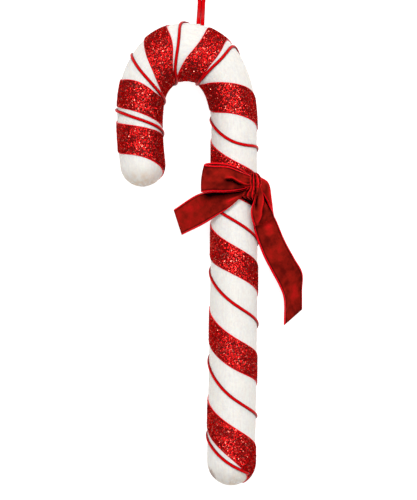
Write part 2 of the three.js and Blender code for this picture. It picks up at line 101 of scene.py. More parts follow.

# A brownish patch on the foot: how far past the shaft's end, its angle round it, and its halves.
FOOT_PATCH_PAST_END = 8.6
FOOT_PATCH_LENGTH = 5.6
FOOT_PATCH_ANGLE = math.radians(20)
FOOT_PATCH_SPREAD = math.radians(21)
FOOT_PATCH_STRENGTH = 0.75
FOOT_PATCH_FADES_OVER = (-1.0, -0.4)
FOOT_PATCH_RAGGED = 0.5
FOOT_PATCH_RAGGED_SIZE = 1.5

# The glitter ribbon: one row for each turn, with the stations of its edge nearer the hook's tip and
# of its edge nearer the foot on the side facing the hook's gap, the front and the outer side.
STRIPE_TURNS = [
    ((-8.5, 4.5, 9.5), (19.0, 24.4, 28.8)),
    ((24.0, 33.1, 37.4), (43.0, 52.2, 51.8)),
    ((44.8, 63.8, 73.3), (66.2, 82.3, 84.3)),
    ((70.0, 95.5, 100.0), (113.6, 111.1, 109.8)),
    ((115.8, 127.7, 139.1), (142.6, 148.8, 157.4)),
    ((164.5, 179.0, 190.3), (184.8, 202.5, 213.2)),
    ((219.6, 234.3, 247.6), (241.8, 253.5, 266.7)),
    ((276.0, 293.4, 306.5), (297.6, 314.5, 325.6)),
    ((335.0, 351.5, 366.4), (354.5, 373.4, 396.0)),
]
STRIPE_START = 17.5 / 26  # in turns, of which the solid has 26 steps each
STRIPE_END = 243.5 / 26
STRIPE_ROWS_PER_TURN = 140
STRIPE_COLUMNS = 21
STRIPE_TIP_LIMIT = -16  # its edges go no further round the two ends than these
STRIPE_FOOT_OVERRUN = 17
STRIPE_EDGE_THICKNESS = 0.1
STRIPE_THICKNESS = 0.4
STRIPE_SELVEDGE = 0.065  # as a share of half its width
STRIPE_SELVEDGE_RISE = 0.12
STRIPE_RISES_OVER = (-0.03, 0.02)  # shares of half its width, from the selvedge's inner edge
STRIPE_BORDER = (1.0, 0.985, 0.96)  # places of the first columns in from an edge
STRIPE_SQUARENESS = 40
STRIPE_PUCKER = 0.12
STRIPE_PUCKER_SIZE = 5.0
FLAKE_LIFTS = (0.02, 0.18)  # above the ribbon
FLAKE_SIZES = (0.7, 1.3)  # as shares of the flake width
FLAKE_MOST_LEAN = 1.0  # in radians
FLAKE_INSET = 0.985  # flakes stop at this share of the width between the selvedges
FLAKE_FLOOR = 0.01
SCATTER_STEPS = 3000
STEP_ALONG = 0.5  # from one point of the cane to the next, to find how its surface lies
STEP_ROUND = 0.03  # the same, as an angle

# The satin cord between the turns of the ribbon: stations as above, with a fourth for the underside.
CORD_TURNS = [
    (20.2, 29.0, 35.4, 37.6),
    (43.9, 57.0, 64.4, 65.5),
    (68.2, 85.2, 90.2, 103.4),
    (114.7, 113.4, 113.4, 136.0),
    (150.7, 167.0, 170.4, 181.0),
    (203.1, 218.2, 232.0, 240.0),
    (251.9, 272.2, 286.2, 298.0),
    (310.8, 333.4, 346.6, 353.0),
    (359.6, 377.0, 388.0, 400.0),
]
CORD_START = 0.68
CORD_END = 9.13
CORD_STEPS_PER_TURN = 96
CORD_SIDES = 14
CORD_SINKS = 0.9  # into the foam and its coat
CORD_FLATTENED = 0.9  # its lower half, as a share of its upper half
CORD_FLOOR = 0.1
CLIMB_HEIGHT = 0.45  # it climbs where it has less room beside the ribbon than these two
CLIMB_NEAR = 2.0
CLIMB_FAR = 3.2
CORD_SLANT = 0.87  # room across the slanting cord, as a share of room along the cane
CORD_LEVEL = (0.72, 0.9)  # it stays low on the underside, from these sines of its angle
CORD_TANGENT_STEP = 0.002

# The velvet bow: the two edges of its ribbon at places along it.
LEFT_LOOP = [
    ((27.4, 49.4, 35.2), (27.4, 42.6, 34.8)),
    ((22.2, 51.5, 38.2), (21.5, 40.6, 38.0)),
    ((12.5, 55.3, 41.0), (11.2, 39.2, 40.6)),
    ((2.8, 55.9, 41.0), (0.9, 39.2, 40.6)),
    ((-2.4, 56.7, 38.6), (-4.4, 38.7, 38.4)),
    ((-1.7, 57.6, 36.6), (-4.0, 39.5, 36.4)),
    ((8.6, 57.9, 36.0), (7.3, 40.2, 35.9)),
    ((18.3, 55.2, 36.0), (17.1, 41.2, 35.9)),
    ((27.5, 49.4, 34.0), (27.5, 42.4, 33.8)),
]
RIGHT_LOOP = [
    ((31.0, 39.8, 34.8), (34.0, 43.2, 33.8)),
    ((29.0, 33.2, 38.2), (36.6, 37.0, 35.4)),
    ((27.2, 26.7, 38.4), (39.8, 31.4, 33.6)),
    ((28.1, 20.3, 36.4), (42.2, 25.4, 30.2)),
    ((29.4, 17.1, 34.0), (43.1, 22.9, 26.8)),
    ((28.7, 19.7, 32.2), (42.5, 25.7, 24.8)),
    ((28.6, 26.2, 32.0), (41.4, 34.3, 25.2)),
    ((30.4, 34.0, 33.2), (38.9, 45.6, 28.4)),
    ((31.8, 40.3, 32.6), (33.6, 49.2, 30.2)),
]
LEFT_TAIL = [
    ((27.5, 41.6, 32.6), (26.5, 41.0, 32.2)),
    ((21.6, 40.1, 33.7), (20.3, 35.2, 33.5)),
    ((12.6, 39.4, 33.2), (13.2, 28.7, 33.0)),
    ((1.5, 39.7, 29.6), (4.1, 23.0, 29.4)),
    ((-7.7, 38.0, 21.5), (-4.4, 17.9, 21.5)),
    ((-23.2, 28.4, 9.0), (-17.7, 11.5, 8.0)),
]
RIGHT_TAIL = [
    ((29.8, 37.6, 30.2), (33.2, 39.6, 28.8)),
    ((29.4, 28.8, 29.6), (37.6, 31.6, 22.4)),
    ((28.8, 18.4, 29.6), (43.6, 22.5, 20.5)),
    ((34.9, 0.2, 26.5), (50.3, 8.1, 18.3)),
    ((41.6, -13.0, 21.5), (57.1, -4.1, 14.0)),
    ((46.0, -21.6, 18.5), (62.1, -13.5, 9.5)),
    ((49.1, -30.2, 16.5), (62.0, -25.3, 3.2)),
    ((49.9, -48.2, 13.0), (62.6, -38.1, 0.8)),
]
VELVET_WIDTH = 19.0
VELVET_COLUMNS = 64
VELVET_STEP = 0.5
VELVET_BORDER = (1.0, 0.98, 0.95)  # places of the first columns in from an edge
VELVET_SQUARENESS = 30
VELVET_THINNEST = 0.02  # at its very edges, as the square of a share
SELVEDGE_RISE = 0.12
SELVEDGE_RISES_OVER = (-0.04, 0.02)
EDGE_SHADE_IN = 0.045  # a thin line of painted shade lies this far inside a selvedge, where the pile ends, as a share
EDGE_SHADE_WIDTHS = (0.05, 0.03)
EDGE_PAINTED_SHADE = 0.5
RIBBON_TANGENT_STEP = 0.01
OVER_WINDINGS = 2.5  # the bow clears the foam by this much, and by more over its tie band
OVER_TIE = 3.6
TIE_REACH = (3.6, 6.5)
KNOT_STATION = 195.8
KNOT_ANGLE = 127.6  # degrees
KNOT_LIFT = 5.7
KNOT_HALVES = (5.2, 9.0, 4.4)  # across, along and deep
KNOT_SQUARENESS = 2.5
KNOT_RINGS = 70
KNOT_SIDES = 180
KNOT_RIDGES = (10, 52, 90, 133, 165, 200, 240, 280, 320)  # degrees round the knot
KNOT_RIDGE_WIDTH = 11
KNOT_RIDGE_WANDER = 5  # degrees
KNOT_RIDGE_WAVES = 2.2
KNOT_PLEAT_DEPTH = 0.24
KNOT_SELVEDGE_ABOVE = 0.93
KNOT_WAIST_AT = -0.05  # places along the knot, from -1 at its lower end to 1
KNOT_WAIST_DEPTH = 0.14
KNOT_WAIST_WIDTH = 0.22
KNOT_PINCH_WIDTH = 0.2
KNOT_FLARE = 1.0
KNOT_FLARES_OVER = (0.1, 0.85)  # places below the middle
# Painted shade: the knot's lower end is coloured dark over these places below the middle.
KNOT_DARK_OVER = (0.8, 0.97)
KNOT_MOTTLING_SIZE = 1.3
# Painted light on the knot: highlights on its ridges and more at its waist, painted shade between the
# ridges and at its lower end, and random mottling.
KNOT_PAINTED_LIGHT = {"ridge": 1.05, "between": -0.6, "pinch": 0.5, "dark_end": -1.2, "mottling": 0.7}
TIE_STATIONS = (191.5, 197.0)
TIE_ANGLES = (131, 484)  # degrees, both ends inside the knot
TIE_LIFT = 2.2
TIE_FLATTENED = 0.4
TIE_STEPS = 160
TIE_COLUMNS = 19
TIE_SQUARENESS = 12
TIE_THINNEST = 0.03
TIE_PLEATS = 3
TIE_PLEAT_HEIGHT = 0.15
TIE_SPREAD = 10.8  # how far the band's lower edge spreads where it runs into the knot
TIE_SPREAD_ANGLES = (432, 494)
TIE_TUCK = 14  # the band runs this much further into the knot than its solid, in degrees
# Painted shade over the tie band.
TIE_PAINTED_SHADE = -0.3

# The hanger: y, z and half the distance between its two strands.
HANGER_ROUTE = [
    (150.1, 17.4, 1.33), (154.0, 16.0, 1.33), (157.0, 11.6, 1.34), (160.0, 6.4, 1.32),
    (163.5, 2.5, 1.3), (168.5, 0.8, 1.34), (175.0, 0.6, 2.4), (181.0, 0.6, 4.3),
    (187.0, 0.6, 5.4), (192.2, 0.6, 4.0), (194.4, 0.6, 0.0),
]
HANGER_X = -5.5
HANGER_LEAN = 0.04
HANGER_THICKNESS = 0.7
HANGER_SQUARENESS = (0.5, 0.6)  # of its section, across and through it: 1 is round, 0 square
HANGER_STEPS = 160
HANGER_SIDES = 16
HANGER_SKEW = 0.5  # the strands leave the foam this far above and below their middle
HANGER_SKEW_BELOW = 157.0

# Patterns of the materials.
CLUMP_GRAINS = 2.2  # grains of the coat across a clump
COAT_PATCH = 14
CRINKLE = (1.1, 7.0)  # round and along the cane
GLUE_LUMP = 0.8
HANGER_RIB = 0.5
CORD_RIB = 0.6
SELVEDGE_RIB = 0.5
PILE_PATCH = 7
PILE_TUFT = 0.6
PILE_PATCHINESS = 1.35  # how far random patches of the pile's own lean shift the painted light and shade
WAVES_PER_UNIT = 1 / 3.1831  # a wave texture of scale 1 has a band for each 0.31 of a unit
# Painted shade on satin: its colour is dimmed to this share at its sides and underside.
SIDE_SHADE = 0.3  # a satin's colour is dimmed to this share where it turns under
GLUE_SHADE = 0.5  # painted shade: the glue between the flakes is dimmed to this share in its hollows

# The stage, in metres.
CAMERA_X = -0.0001
CAMERA_Y = 0.001485
SHAFT_MIDDLE = 0.0167
FLOOR_HALF = 3.0
KEY_PLACE = (-0.05, 1.6, 2.8)
KEY_SIDE = 1.3
FILL_PLACE = (0.15, -0.1, 1.3)
FILL_SIDE = 0.7


# ------------------------------------------------------------------ colours and nodes


def linear(hex_colour):
    """The linear colour of an sRGB hex value."""
    shares = [int(hex_colour[i : i + 2], 16) / 255 for i in (0, 2, 4)]
    return tuple(c / 12.92 if c <= 0.04045 else ((c + 0.055) / 1.055) ** 2.4 for c in shares)


def opaque(colour):
    """A colour socket's four numbers from a colour's three."""
    return (*colour, 1.0)


def per_metre(millimetres):
    """The scale that gives a pattern a feature of that size in object coordinates."""
    return 1 / (millimetres * MM)


def add_node(tree, kind, inputs=None, stops=(), **settings):
    """Adds a node with its settings. Each input is linked if it is given a socket, or else set.
    stops are the (place, colour) pairs of a ramp, from its low end up."""
    node = tree.nodes.new(kind)
    for name, value in settings.items():
        setattr(node, name, value)
    for name, value in (inputs or {}).items():
        if isinstance(value, bpy.types.NodeSocket):
            tree.links.new(value, node.inputs[name])
        else:
            node.inputs[name].default_value = value
    for i, (place, colour) in enumerate(stops):
        elements = node.color_ramp.elements
        element = elements[i] if i < len(elements) else elements.new(place)
        element.position = place
        element.color = opaque(colour)
    return node


def new_material(name):
    """An empty material and its node tree."""
    material = bpy.data.materials.new(name)
    material.use_nodes = True
    material.node_tree.nodes.clear()
    return material, material.node_tree


def finish_surface(tree, shader):
    """Joins a material's shader to an output."""
    add_node(tree, "ShaderNodeOutputMaterial", {"Surface": shader.outputs[0]})


# ------------------------------------------------------------------ lines and the cane's surface


def smoothstep(value, low, high):
    """Rises smoothly from 0 at low to 1 at high."""
    share = np.clip((np.asarray(value, float) - low) / (high - low), 0, 1)
    return share * share * (3 - 2 * share)


def bell(distance, width):
    """1 where distance is 0, and about a third of that one width away."""
    return np.exp(-((distance / width) ** 2))


def through(points, places):
    """Points of a centripetal Catmull-Rom line through points, at places from 0 to 1."""
    points = np.asarray(points, float)
    padded = np.vstack([2 * points[0] - points[1], points, 2 * points[-1] - points[-2]])
    spans = np.sqrt(np.linalg.norm(np.diff(padded, axis=0), axis=1))[:, None]
    scaled = np.clip(np.asarray(places, float), 0, 1) * (len(points) - 1)
    piece = np.minimum(scaled.astype(int), len(points) - 2)
    t = (scaled - piece)[..., None]
    p0, p1, p2, p3 = (padded[piece + k] for k in range(4))
    d0, d1, d2 = (spans[piece + k] for k in range(3))
    leave = ((p1 - p0) / d0 - (p2 - p0) / (d0 + d1) + (p2 - p1) / d1) * d1
    arrive = ((p2 - p1) / d1 - (p3 - p1) / (d1 + d2) + (p3 - p2) / d2) * d1
    cubic = 2 * p1 - 2 * p2 + leave + arrive
    square = -3 * p1 + 3 * p2 - 2 * leave - arrive
    return ((cubic * t + square) * t + leave) * t + p1


def unit(vectors):
    return vectors / np.linalg.norm(vectors, axis=-1, keepdims=True)


def signed_power(values, power):
    return np.sign(values) * np.abs(values) ** power


def steps_along(points):
    """How far along a line each of its points lies."""
    return np.concatenate([[0], np.cumsum(np.linalg.norm(np.diff(points, axis=0), axis=1))])


def ring_points(centres, *sides):
    """Points round each centre: sides are directions at the centres, each with its distances."""
    points = centres[:, None]
    for direction, share in sides:
        points = points + direction[:, None] * share[..., None]
    return points


def rounded(across, squareness, thinnest=0.0):
    """How thick a ribbon is at places across it, as a share of its middle. The higher the power,
    the squarer its edges."""
    return np.sqrt(np.clip(1 - np.abs(across) ** squareness, thinnest, 1))


def across_ribbon(columns, inner_edge, border):
    """Places of a ribbon's columns from -1 to 1, with closer ones along its two borders."""
    edge = np.array([*border, inner_edge])
    return np.concatenate([-edge, np.linspace(-inner_edge, inner_edge, columns)[1:-1], edge[::-1]])


LINE_PLACES = np.linspace(0, 1, LINE_DIVISIONS + 1)
LINE_STATIONS = steps_along(through(CANE_LINE, LINE_PLACES))
CANE_LENGTH = LINE_STATIONS[-1]
RADIUS_STATIONS, RADII = zip(*CANE_RADIUS)


def cane_halves(station):
    """Half width in the plane of the cane, and half height."""
    radius = np.interp(station, RADIUS_STATIONS, RADII)
    last_slope = (RADII[-1] - RADII[-2]) / (RADIUS_STATIONS[-1] - RADIUS_STATIONS[-2])
    radius = radius + last_slope * np.maximum(np.asarray(station) - RADIUS_STATIONS[-1], 0)
    bulge = bell(station - CROWN_STATION, CROWN_REACH)
    return radius + CROWN_EXTRA_WIDTH * bulge, radius + CROWN_EXTRA_HEIGHT * bulge


def on_cane(station, angle, lift=0.0):
    """Points at stations and angles round the cane, lifted off the foam. 0 faces the hook's gap."""
    station, angle, lift = np.broadcast_arrays(np.asarray(station, float), angle, lift)
    along = np.clip(station, 0, CANE_LENGTH)
    place = np.interp(along, LINE_STATIONS, LINE_PLACES)
    centre = through(CANE_LINE, place)
    tangent = unit(through(CANE_LINE, place + TANGENT_STEP) - through(CANE_LINE, place - TANGENT_STEP))
    half_width, half_height = cane_halves(along)
    dome = (station - along) / half_width
    forward = np.sin(dome) * (half_width + lift)
    outward = -np.cos(angle) * (half_width + lift) * np.cos(dome)
    up = np.sin(angle) * (half_height + lift) * np.cos(dome)
    x = centre[..., 0] + tangent[..., 0] * forward - tangent[..., 1] * outward
    y = centre[..., 1] + tangent[..., 1] * forward + tangent[..., 0] * outward
    return np.stack([x, y, CANE_CLEARANCE + half_height + up], axis=-1)


def above(points, floor):
    """The same points, with none lower than floor."""
    points[..., 2] = np.maximum(points[..., 2], floor)
    return points


def grain(points, size, seed=0):
    """Smooth noise from -1 to 1 at points, with features of about size millimetres."""
    flat = points.reshape(-1, 3) / size + seed
    values = [noise.noise(Vector(p)) for p in flat.tolist()]
    return np.array(values).reshape(points.shape[:-1])


def smooth_through(knots, turn):
    """A smooth curve through (turn, station) knots, at one turn that may lie past either end."""
    last = len(knots) - 1
    i = 0
    while i < last - 1 and turn > knots[i + 1][0]:
        i += 1

    def slope(k):
        (t0, s0), (t1, s1) = knots[max(k - 1, 0)], knots[min(k + 1, last)]
        return (s1 - s0) / (t1 - t0)

    (t0, s0), (t1, s1) = knots[i], knots[i + 1]
    span = t1 - t0
    if turn < t0:
        return s0 + slope(i) * (turn - t0)
    if turn > t1:
        return s1 + slope(i + 1) * (turn - t1)
    u = (turn - t0) / span
    return (
        (2 * u**3 - 3 * u**2 + 1) * s0
        + (u**3 - 2 * u**2 + u) * span * slope(i)
        + (3 * u**2 - 2 * u**3) * s1
        + (u**3 - u**2) * span * slope(i + 1)
    )


def turn_knots(rows):
    """Knots of rows of stations that each begin on the gap side, a quarter turn before the front."""
    return [(k + 0.75 + i / 4, station) for k, row in enumerate(rows) for i, station in enumerate(row)]


TIP_EDGE = turn_knots([tip for tip, _ in STRIPE_TURNS])
FOOT_EDGE = turn_knots([foot for _, foot in STRIPE_TURNS])
CORD_KNOTS = turn_knots(CORD_TURNS)


def turn_angle(turn):
    """The angle round the cane at a turn. Whole turns lie on the front."""
    return 2 * math.pi * turn + math.pi / 2


def stripe_edges(turns):
    """Stations of the glitter ribbon's two edges at turns."""
    tip = [smooth_through(TIP_EDGE, t) for t in turns]
    foot = [smooth_through(FOOT_EDGE, t) for t in turns]
    limit = CANE_LENGTH + STRIPE_FOOT_OVERRUN
    return np.maximum(tip, STRIPE_TIP_LIMIT), np.minimum(foot, limit)


# ------------------------------------------------------------------ meshes


def tube_faces(rings, sides):
    """Faces of rings of points, closed at both ends by fans round the two points that follow them."""
    faces = []
    for i in range(rings - 1):
        for j in range(sides):
            a, b = i * sides + j, i * sides + (j + 1) % sides
            faces.append((a, b, b + sides, a + sides))
    first, last, last_ring = rings * sides, rings * sides + 1, (rings - 1) * sides
    for j in range(sides):
        following = (j + 1) % sides
        faces.append((first, following, j))
        faces.append((last, last_ring + j, last_ring + following))
    return faces


def sheet_faces(rows, columns):
    """Faces of an outer and an inner grid of points, joined along their borders, and the column
    that each face lies in."""
    under = rows * columns
    faces, at_column = [], []

    def quad(column, *corners):
        faces.append(corners)
        at_column.append(column)

    for i in range(rows - 1):
        for j in range(columns - 1):
            a = i * columns + j
            quad(j, a, a + 1, a + columns + 1, a + columns)
            quad(j, under + a, under + a + columns, under + a + columns + 1, under + a + 1)
        left, right = i * columns, i * columns + columns - 1
        quad(0, left, left + columns, under + left + columns, under + left)
        quad(columns - 2, right, under + right, under + right + columns, right + columns)
    last = (rows - 1) * columns
    for j in range(columns - 1):
        quad(j, j, under + j, under + j + 1, j + 1)
        quad(j, last + j, last + j + 1, under + last + j + 1, under + last + j)
    return faces, at_column


def stacked(*parts):
    """One list of points from lists and grids of points."""
    return np.vstack([np.reshape(part, (-1, 3)) for part in parts])


def thread_marks(path, round_about):
    """Millimetres round and along a tube at its points, where the last two are its ends."""
    threads = np.zeros((len(path) * len(round_about) + 2, 3))
    threads[:-2, 0] = np.tile(round_about, len(path))
    threads[:-2, 1] = np.repeat(steps_along(path), len(round_about))
    return threads


def new_piece(name, points, faces, materials, replaces=(), face_slots=None, marks=None):
    """A smooth mesh from points in millimetres, riding on the ornament's one body. marks are named
    values at its points, which its materials read."""
    points = np.asarray(points, float).reshape(-1, 3)
    corners = [(points[f[0]], points[f[1]], points[f[2]], points[f[-1]]) for f in faces]
    a, b, c, d = (np.array(side) for side in zip(*corners))
    volume = (a * (np.cross(b, c) + np.cross(c, d))).sum()
    if volume < 0:
        faces = [tuple(reversed(f)) for f in faces]
    mesh = bpy.data.meshes.new(name)
    mesh.from_pydata((points * MM).tolist(), [], faces)
    mesh.shade_smooth()
    for material in materials:
        mesh.materials.append(material)
    if face_slots is not None:
        mesh.polygons.foreach_set("material_index", np.asarray(face_slots, np.int32))
    for mark, values in (marks or {}).items():
        values = np.asarray(values, np.float32)
        if values.ndim == 1:
            mesh.attributes.new(mark, "FLOAT", "POINT").data.foreach_set("value", values)
        else:
            attribute = mesh.attributes.new(mark, "FLOAT_VECTOR", "POINT")
            attribute.data.foreach_set("vector", values.ravel())
    mesh.update()
    piece = bpy.data.objects.new(name, mesh)
    bpy.context.scene.collection.objects.link(piece)
    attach(piece, "root")
    if replaces:
        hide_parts(*replaces)
    return piece


# ------------------------------------------------------------------ settings

COLOUR = {"size": 3, "subtype": "COLOR"}
FINE_LENGTH = {"unit": "LENGTH", "precision": 5}


class StageSettings(bpy.types.PropertyGroup):
    """Camera, floor and lights."""

    camera_distance: FloatProperty(
        name="Camera distance", description="From the camera to the middle of the cane's shaft",
        default=1.0, min=0.3, unit="LENGTH")
    picture_height: FloatProperty(
        name="Picture height", description="Height of what the camera sees at that distance",
        default=0.33, min=0.05, unit="LENGTH")
    key_power: FloatProperty(
        name="Key power", description="Power of the soft box above the crown", default=73.0,
        min=0, unit="POWER")
    fill_power: FloatProperty(
        name="Fill power", description="Power of the wide fill light beside the camera",
        default=6.4, min=0, unit="POWER")
    surround: FloatProperty(
        name="Surround", description="Brightness of the white walls round the table",
        default=0.22, min=0)
    floor_colour: FloatVectorProperty(
        name="Floor", description="Colour of the table", default=linear("b0b0ae"), **COLOUR)
    floor_glow: FloatProperty(
        name="Floor glow", description="Light that the opal table gives off itself", default=0.84,
        min=0)


class FoamSettings(bpy.types.PropertyGroup):
    """The frosted foam cane."""

    coat: FloatVectorProperty(
        name="Coat", description="Colour of the frosted coat", default=linear("e8e6e0"), **COLOUR)
    # Painted shade: the coat's colour in the hollows of its relief.
    hollows: FloatVectorProperty(
        name="Hollows", description="Colour between the grains of the coat",
        default=linear("e2deda"), **COLOUR)
    # A warmer, darker tint laid in random patches over the two round ends, and in their creases as
    # painted shade.
    end_tint: FloatVectorProperty(
        name="End tint", description="Warmer colour of the thin coat on the two round ends",
        default=linear("decab4"), **COLOUR)
    # The colour of a brownish patch near the foot's end.
    glue: FloatVectorProperty(
        name="Glue", description="Colour of the amber glue left at the foot",
        default=linear("7a4a2c"), **COLOUR)
    rim: FloatVectorProperty(
        name="Rim",
        description="Colour of the light that the coat's dust throws back at a glance",
        default=linear("ffd6bc"), **COLOUR)
    grain: FloatProperty(
        name="Grain", description="Size of a grain of the coat", default=0.9 * MM, min=0.1 * MM,
        **FINE_LENGTH)
    lump_height: FloatProperty(
        name="Lump height", description="Height of the coat's soft lumps", default=0.14 * MM,
        min=0, **FINE_LENGTH)


class GlitterSettings(bpy.types.PropertyGroup):
    """The glitter ribbon."""

    glue: FloatVectorProperty(
        name="Glue", description="Colour of the ribbon and glue between the flakes",
        default=linear("680505"), **COLOUR)
    flake: FloatVectorProperty(
        name="Flake", description="Colour of most of the flakes", default=linear("dc1c1c"),
        **COLOUR)
    dark_flake: FloatVectorProperty(
        name="Dark flake", description="Colour of the deepest flakes", default=linear("a60f11"),
        **COLOUR)
    pale_flake: FloatVectorProperty(
        name="Pale flake", description="Colour of the few bare film flakes",
        default=linear("ff8f7c"), **COLOUR)
    flake_width: FloatProperty(
        name="Flake width", description="Across the flats of a flake", default=0.54 * MM,
        min=0.1 * MM, **FINE_LENGTH)
    flake_count: IntProperty(
        name="Flakes", description="Flakes on the whole ribbon", default=99000, min=100)
    flake_tilt: FloatProperty(
        name="Flake tilt", description="How far a flake leans off the ribbon",
        default=math.radians(17), min=0, subtype="ANGLE", unit="ROTATION")
    seed: IntProperty(
        name="Seed", description="Seed of the scatter", default=7, min=0)


class CordSettings(bpy.types.PropertyGroup):
    """The satin cord and the ribbon hanger."""

    colour: FloatVectorProperty(
        name="Cord", description="Colour of the cord's satin cover", default=linear("d0060c"),
        **COLOUR)
    hanger_colour: FloatVectorProperty(
        name="Hanger", description="Colour of the hanger's ribbon", default=linear("c8040c"),
        **COLOUR)
    width: FloatProperty(
        name="Cord width", description="Width of the cord, slightly flattened on the foam",
        default=2.1 * MM, min=0.5 * MM, **FINE_LENGTH)
    height: FloatProperty(
        name="Cord height", description="Height of the cord, sunk a little in the foam",
        default=2.1 * MM, min=0.3 * MM, **FINE_LENGTH)
    hanger_width: FloatProperty(
        name="Hanger width", description="Width of one strand of the hanger", default=2.68 * MM,
        min=0.5 * MM, **FINE_LENGTH)


class VelvetSettings(bpy.types.PropertyGroup):
    """The velvet bow."""

    pile: FloatVectorProperty(
        name="Pile", description="Colour of the pile seen head on", default=linear("8c1810"),
        **COLOUR)
    # Painted shade: the pile's colour where shade is painted beside a fold.
    painted_shade_pile: FloatVectorProperty(
        name="Deep pile", description="Colour where the pile leans away",
        default=linear("66100b"), **COLOUR)
    # Painted shade at the bottom of a crease.
    crease: FloatVectorProperty(
        name="Crease", description="Colour at the bottom of a crease", default=linear("120203"),
        **COLOUR)
    # A painted highlight on a ridge or along a fold's edge.
    ridge: FloatVectorProperty(
        name="Ridge", description="Colour where a fold parts the pile and shows its tips",
        default=linear("e0161c"), **COLOUR)
    sheen: FloatVectorProperty(
        name="Sheen", description="Colour of the pile's tips at a glancing angle",
        default=linear("ff2014"), **COLOUR)
    selvedge: FloatVectorProperty(
        name="Selvedge", description="Colour of the woven edges", default=linear("de0618"),
        **COLOUR)
    thickness: FloatProperty(
        name="Thickness", description="Thickness of the ribbon with its pile", default=0.9 * MM,
        min=0.2 * MM, **FINE_LENGTH)
    selvedge_width: FloatProperty(
        name="Selvedge width", description="Width of each woven edge", default=1.0 * MM,
        min=0.1 * MM, **FINE_LENGTH)


# ------------------------------------------------------------------ stage


class CANE_OT_stage(bpy.types.Operator):
    """Camera straight above the ornament, opal table, soft lights and white surround"""

    bl_idname = "cane.stage"
    bl_label = "Stage"

    def execute(self, context):
        settings = context.scene.cane_stage
        self.add_camera(context, settings)
        self.add_floor(context, settings)
        self.add_lights(context, settings)
        self.add_surround(context, settings)
        return {"FINISHED"}

    def add_camera(self, context, settings):
        """Looks straight down, with the crown at the top of the picture."""
        data = bpy.data.cameras.new("camera")
        data.lens = data.sensor_width * settings.camera_distance / settings.picture_height
        camera = bpy.data.objects.new("camera", data)
        camera.location = (CAMERA_X, CAMERA_Y, SHAFT_MIDDLE + settings.camera_distance)
        context.scene.collection.objects.link(camera)
        context.scene.camera = camera
        context.scene.view_settings.view_transform = "Standard"

    def add_floor(self, context, settings):
        """A wide square table at z = 0."""
        mesh = bpy.data.meshes.new("table")
        h = FLOOR_HALF
        mesh.from_pydata([(-h, -h, 0), (h, -h, 0), (h, h, 0), (-h, h, 0)], [], [(0, 1, 2, 3)])
        mesh.materials.append(opal_table(settings))
        table = bpy.data.objects.new("table", mesh)
        context.scene.collection.objects.link(table)

    def add_lights(self, context, settings):
        """Two round soft boxes that face the ornament."""
        for name, place, side, power in (
            ("key", KEY_PLACE, KEY_SIDE, settings.key_power),
            ("fill", FILL_PLACE, FILL_SIDE, settings.fill_power),
        ):
            light = bpy.data.lights.new(name, "AREA")
            light.shape = "DISK"
            light.size = side
            light.energy = power
            lamp = bpy.data.objects.new(name, light)
            lamp.location = place
            lamp.rotation_mode = "QUATERNION"
            lamp.rotation_quaternion = (-Vector(place)).to_track_quat("-Z", "Y")
            context.scene.collection.objects.link(lamp)

    def add_surround(self, context, settings):
        """Even white light from every side."""
        world = bpy.data.worlds.new("white walls")
        world.use_nodes = True
        world.node_tree.nodes.clear()
        background = add_node(world.node_tree, "ShaderNodeBackground", {
            "Color": opaque(linear("ffffff")), "Strength": settings.surround})
        add_node(world.node_tree, "ShaderNodeOutputWorld", {"Surface": background.outputs[0]})
        context.scene.world = world


def opal_table(settings):
    """Opal acrylic, cast and lit from below: white and even, so shadows on it stay faint."""
    material, tree = new_material("cast opal acrylic")
    shader = add_node(tree, "ShaderNodeBsdfPrincipled", {
        "Base Color": opaque(settings.floor_colour), "Roughness": 0.6, "IOR": 1.49,
        "Emission Color": opaque(linear("ffffff")),
        "Emission Strength": settings.floor_glow})
    finish_surface(tree, shader)
    return material


# ------------------------------------------------------------------ hanger


def hanger_satin(settings):
    """Double-faced satin ribbon, woven from polyester: smooth, with a soft shine along it."""
    material, tree = new_material("woven satin ribbon")
    threads = add_node(tree, "ShaderNodeAttribute", attribute_name="thread_mm")
    # One rib for each 0.5 mm, coarser than the real threads, so that the weave can show.
    ribs = add_node(tree, "ShaderNodeTexWave", {
        "Vector": threads.outputs["Vector"], "Scale": WAVES_PER_UNIT / HANGER_RIB, "Distortion": 0.4},
        bands_direction="Y")
    bump = add_node(tree, "ShaderNodeBump", {
        "Height": ribs.outputs["Fac"], "Strength": 0.4, "Distance": 0.08 * MM})
    # Painted shade: each strand's colour is dimmed towards its two edges.
    shader = add_node(tree, "ShaderNodeBsdfPrincipled", {
        "Base Color": shaded_sides(tree, settings.hanger_colour, dark_from=0.6).outputs["Color"],
        "Roughness": 0.42, "IOR": 1.5,
        "Specular IOR Level": 0.15, "Specular Tint": opaque(linear("ff3020")),
        "Normal": bump.outputs["Normal"]})
    finish_surface(tree, shader)
    return material


def shaded_sides(tree, colour, dark_from):
    """The colour of a satin cover with painted shade, which darkens where the mark "side" nears 1."""
    side = add_node(tree, "ShaderNodeAttribute", attribute_name="side")
    return add_node(
        tree, "ShaderNodeValToRGB", {"Fac": side.outputs["Fac"]},
        stops=[(dark_from, colour), (1.0, tuple(c * SIDE_SHADE for c in colour))])


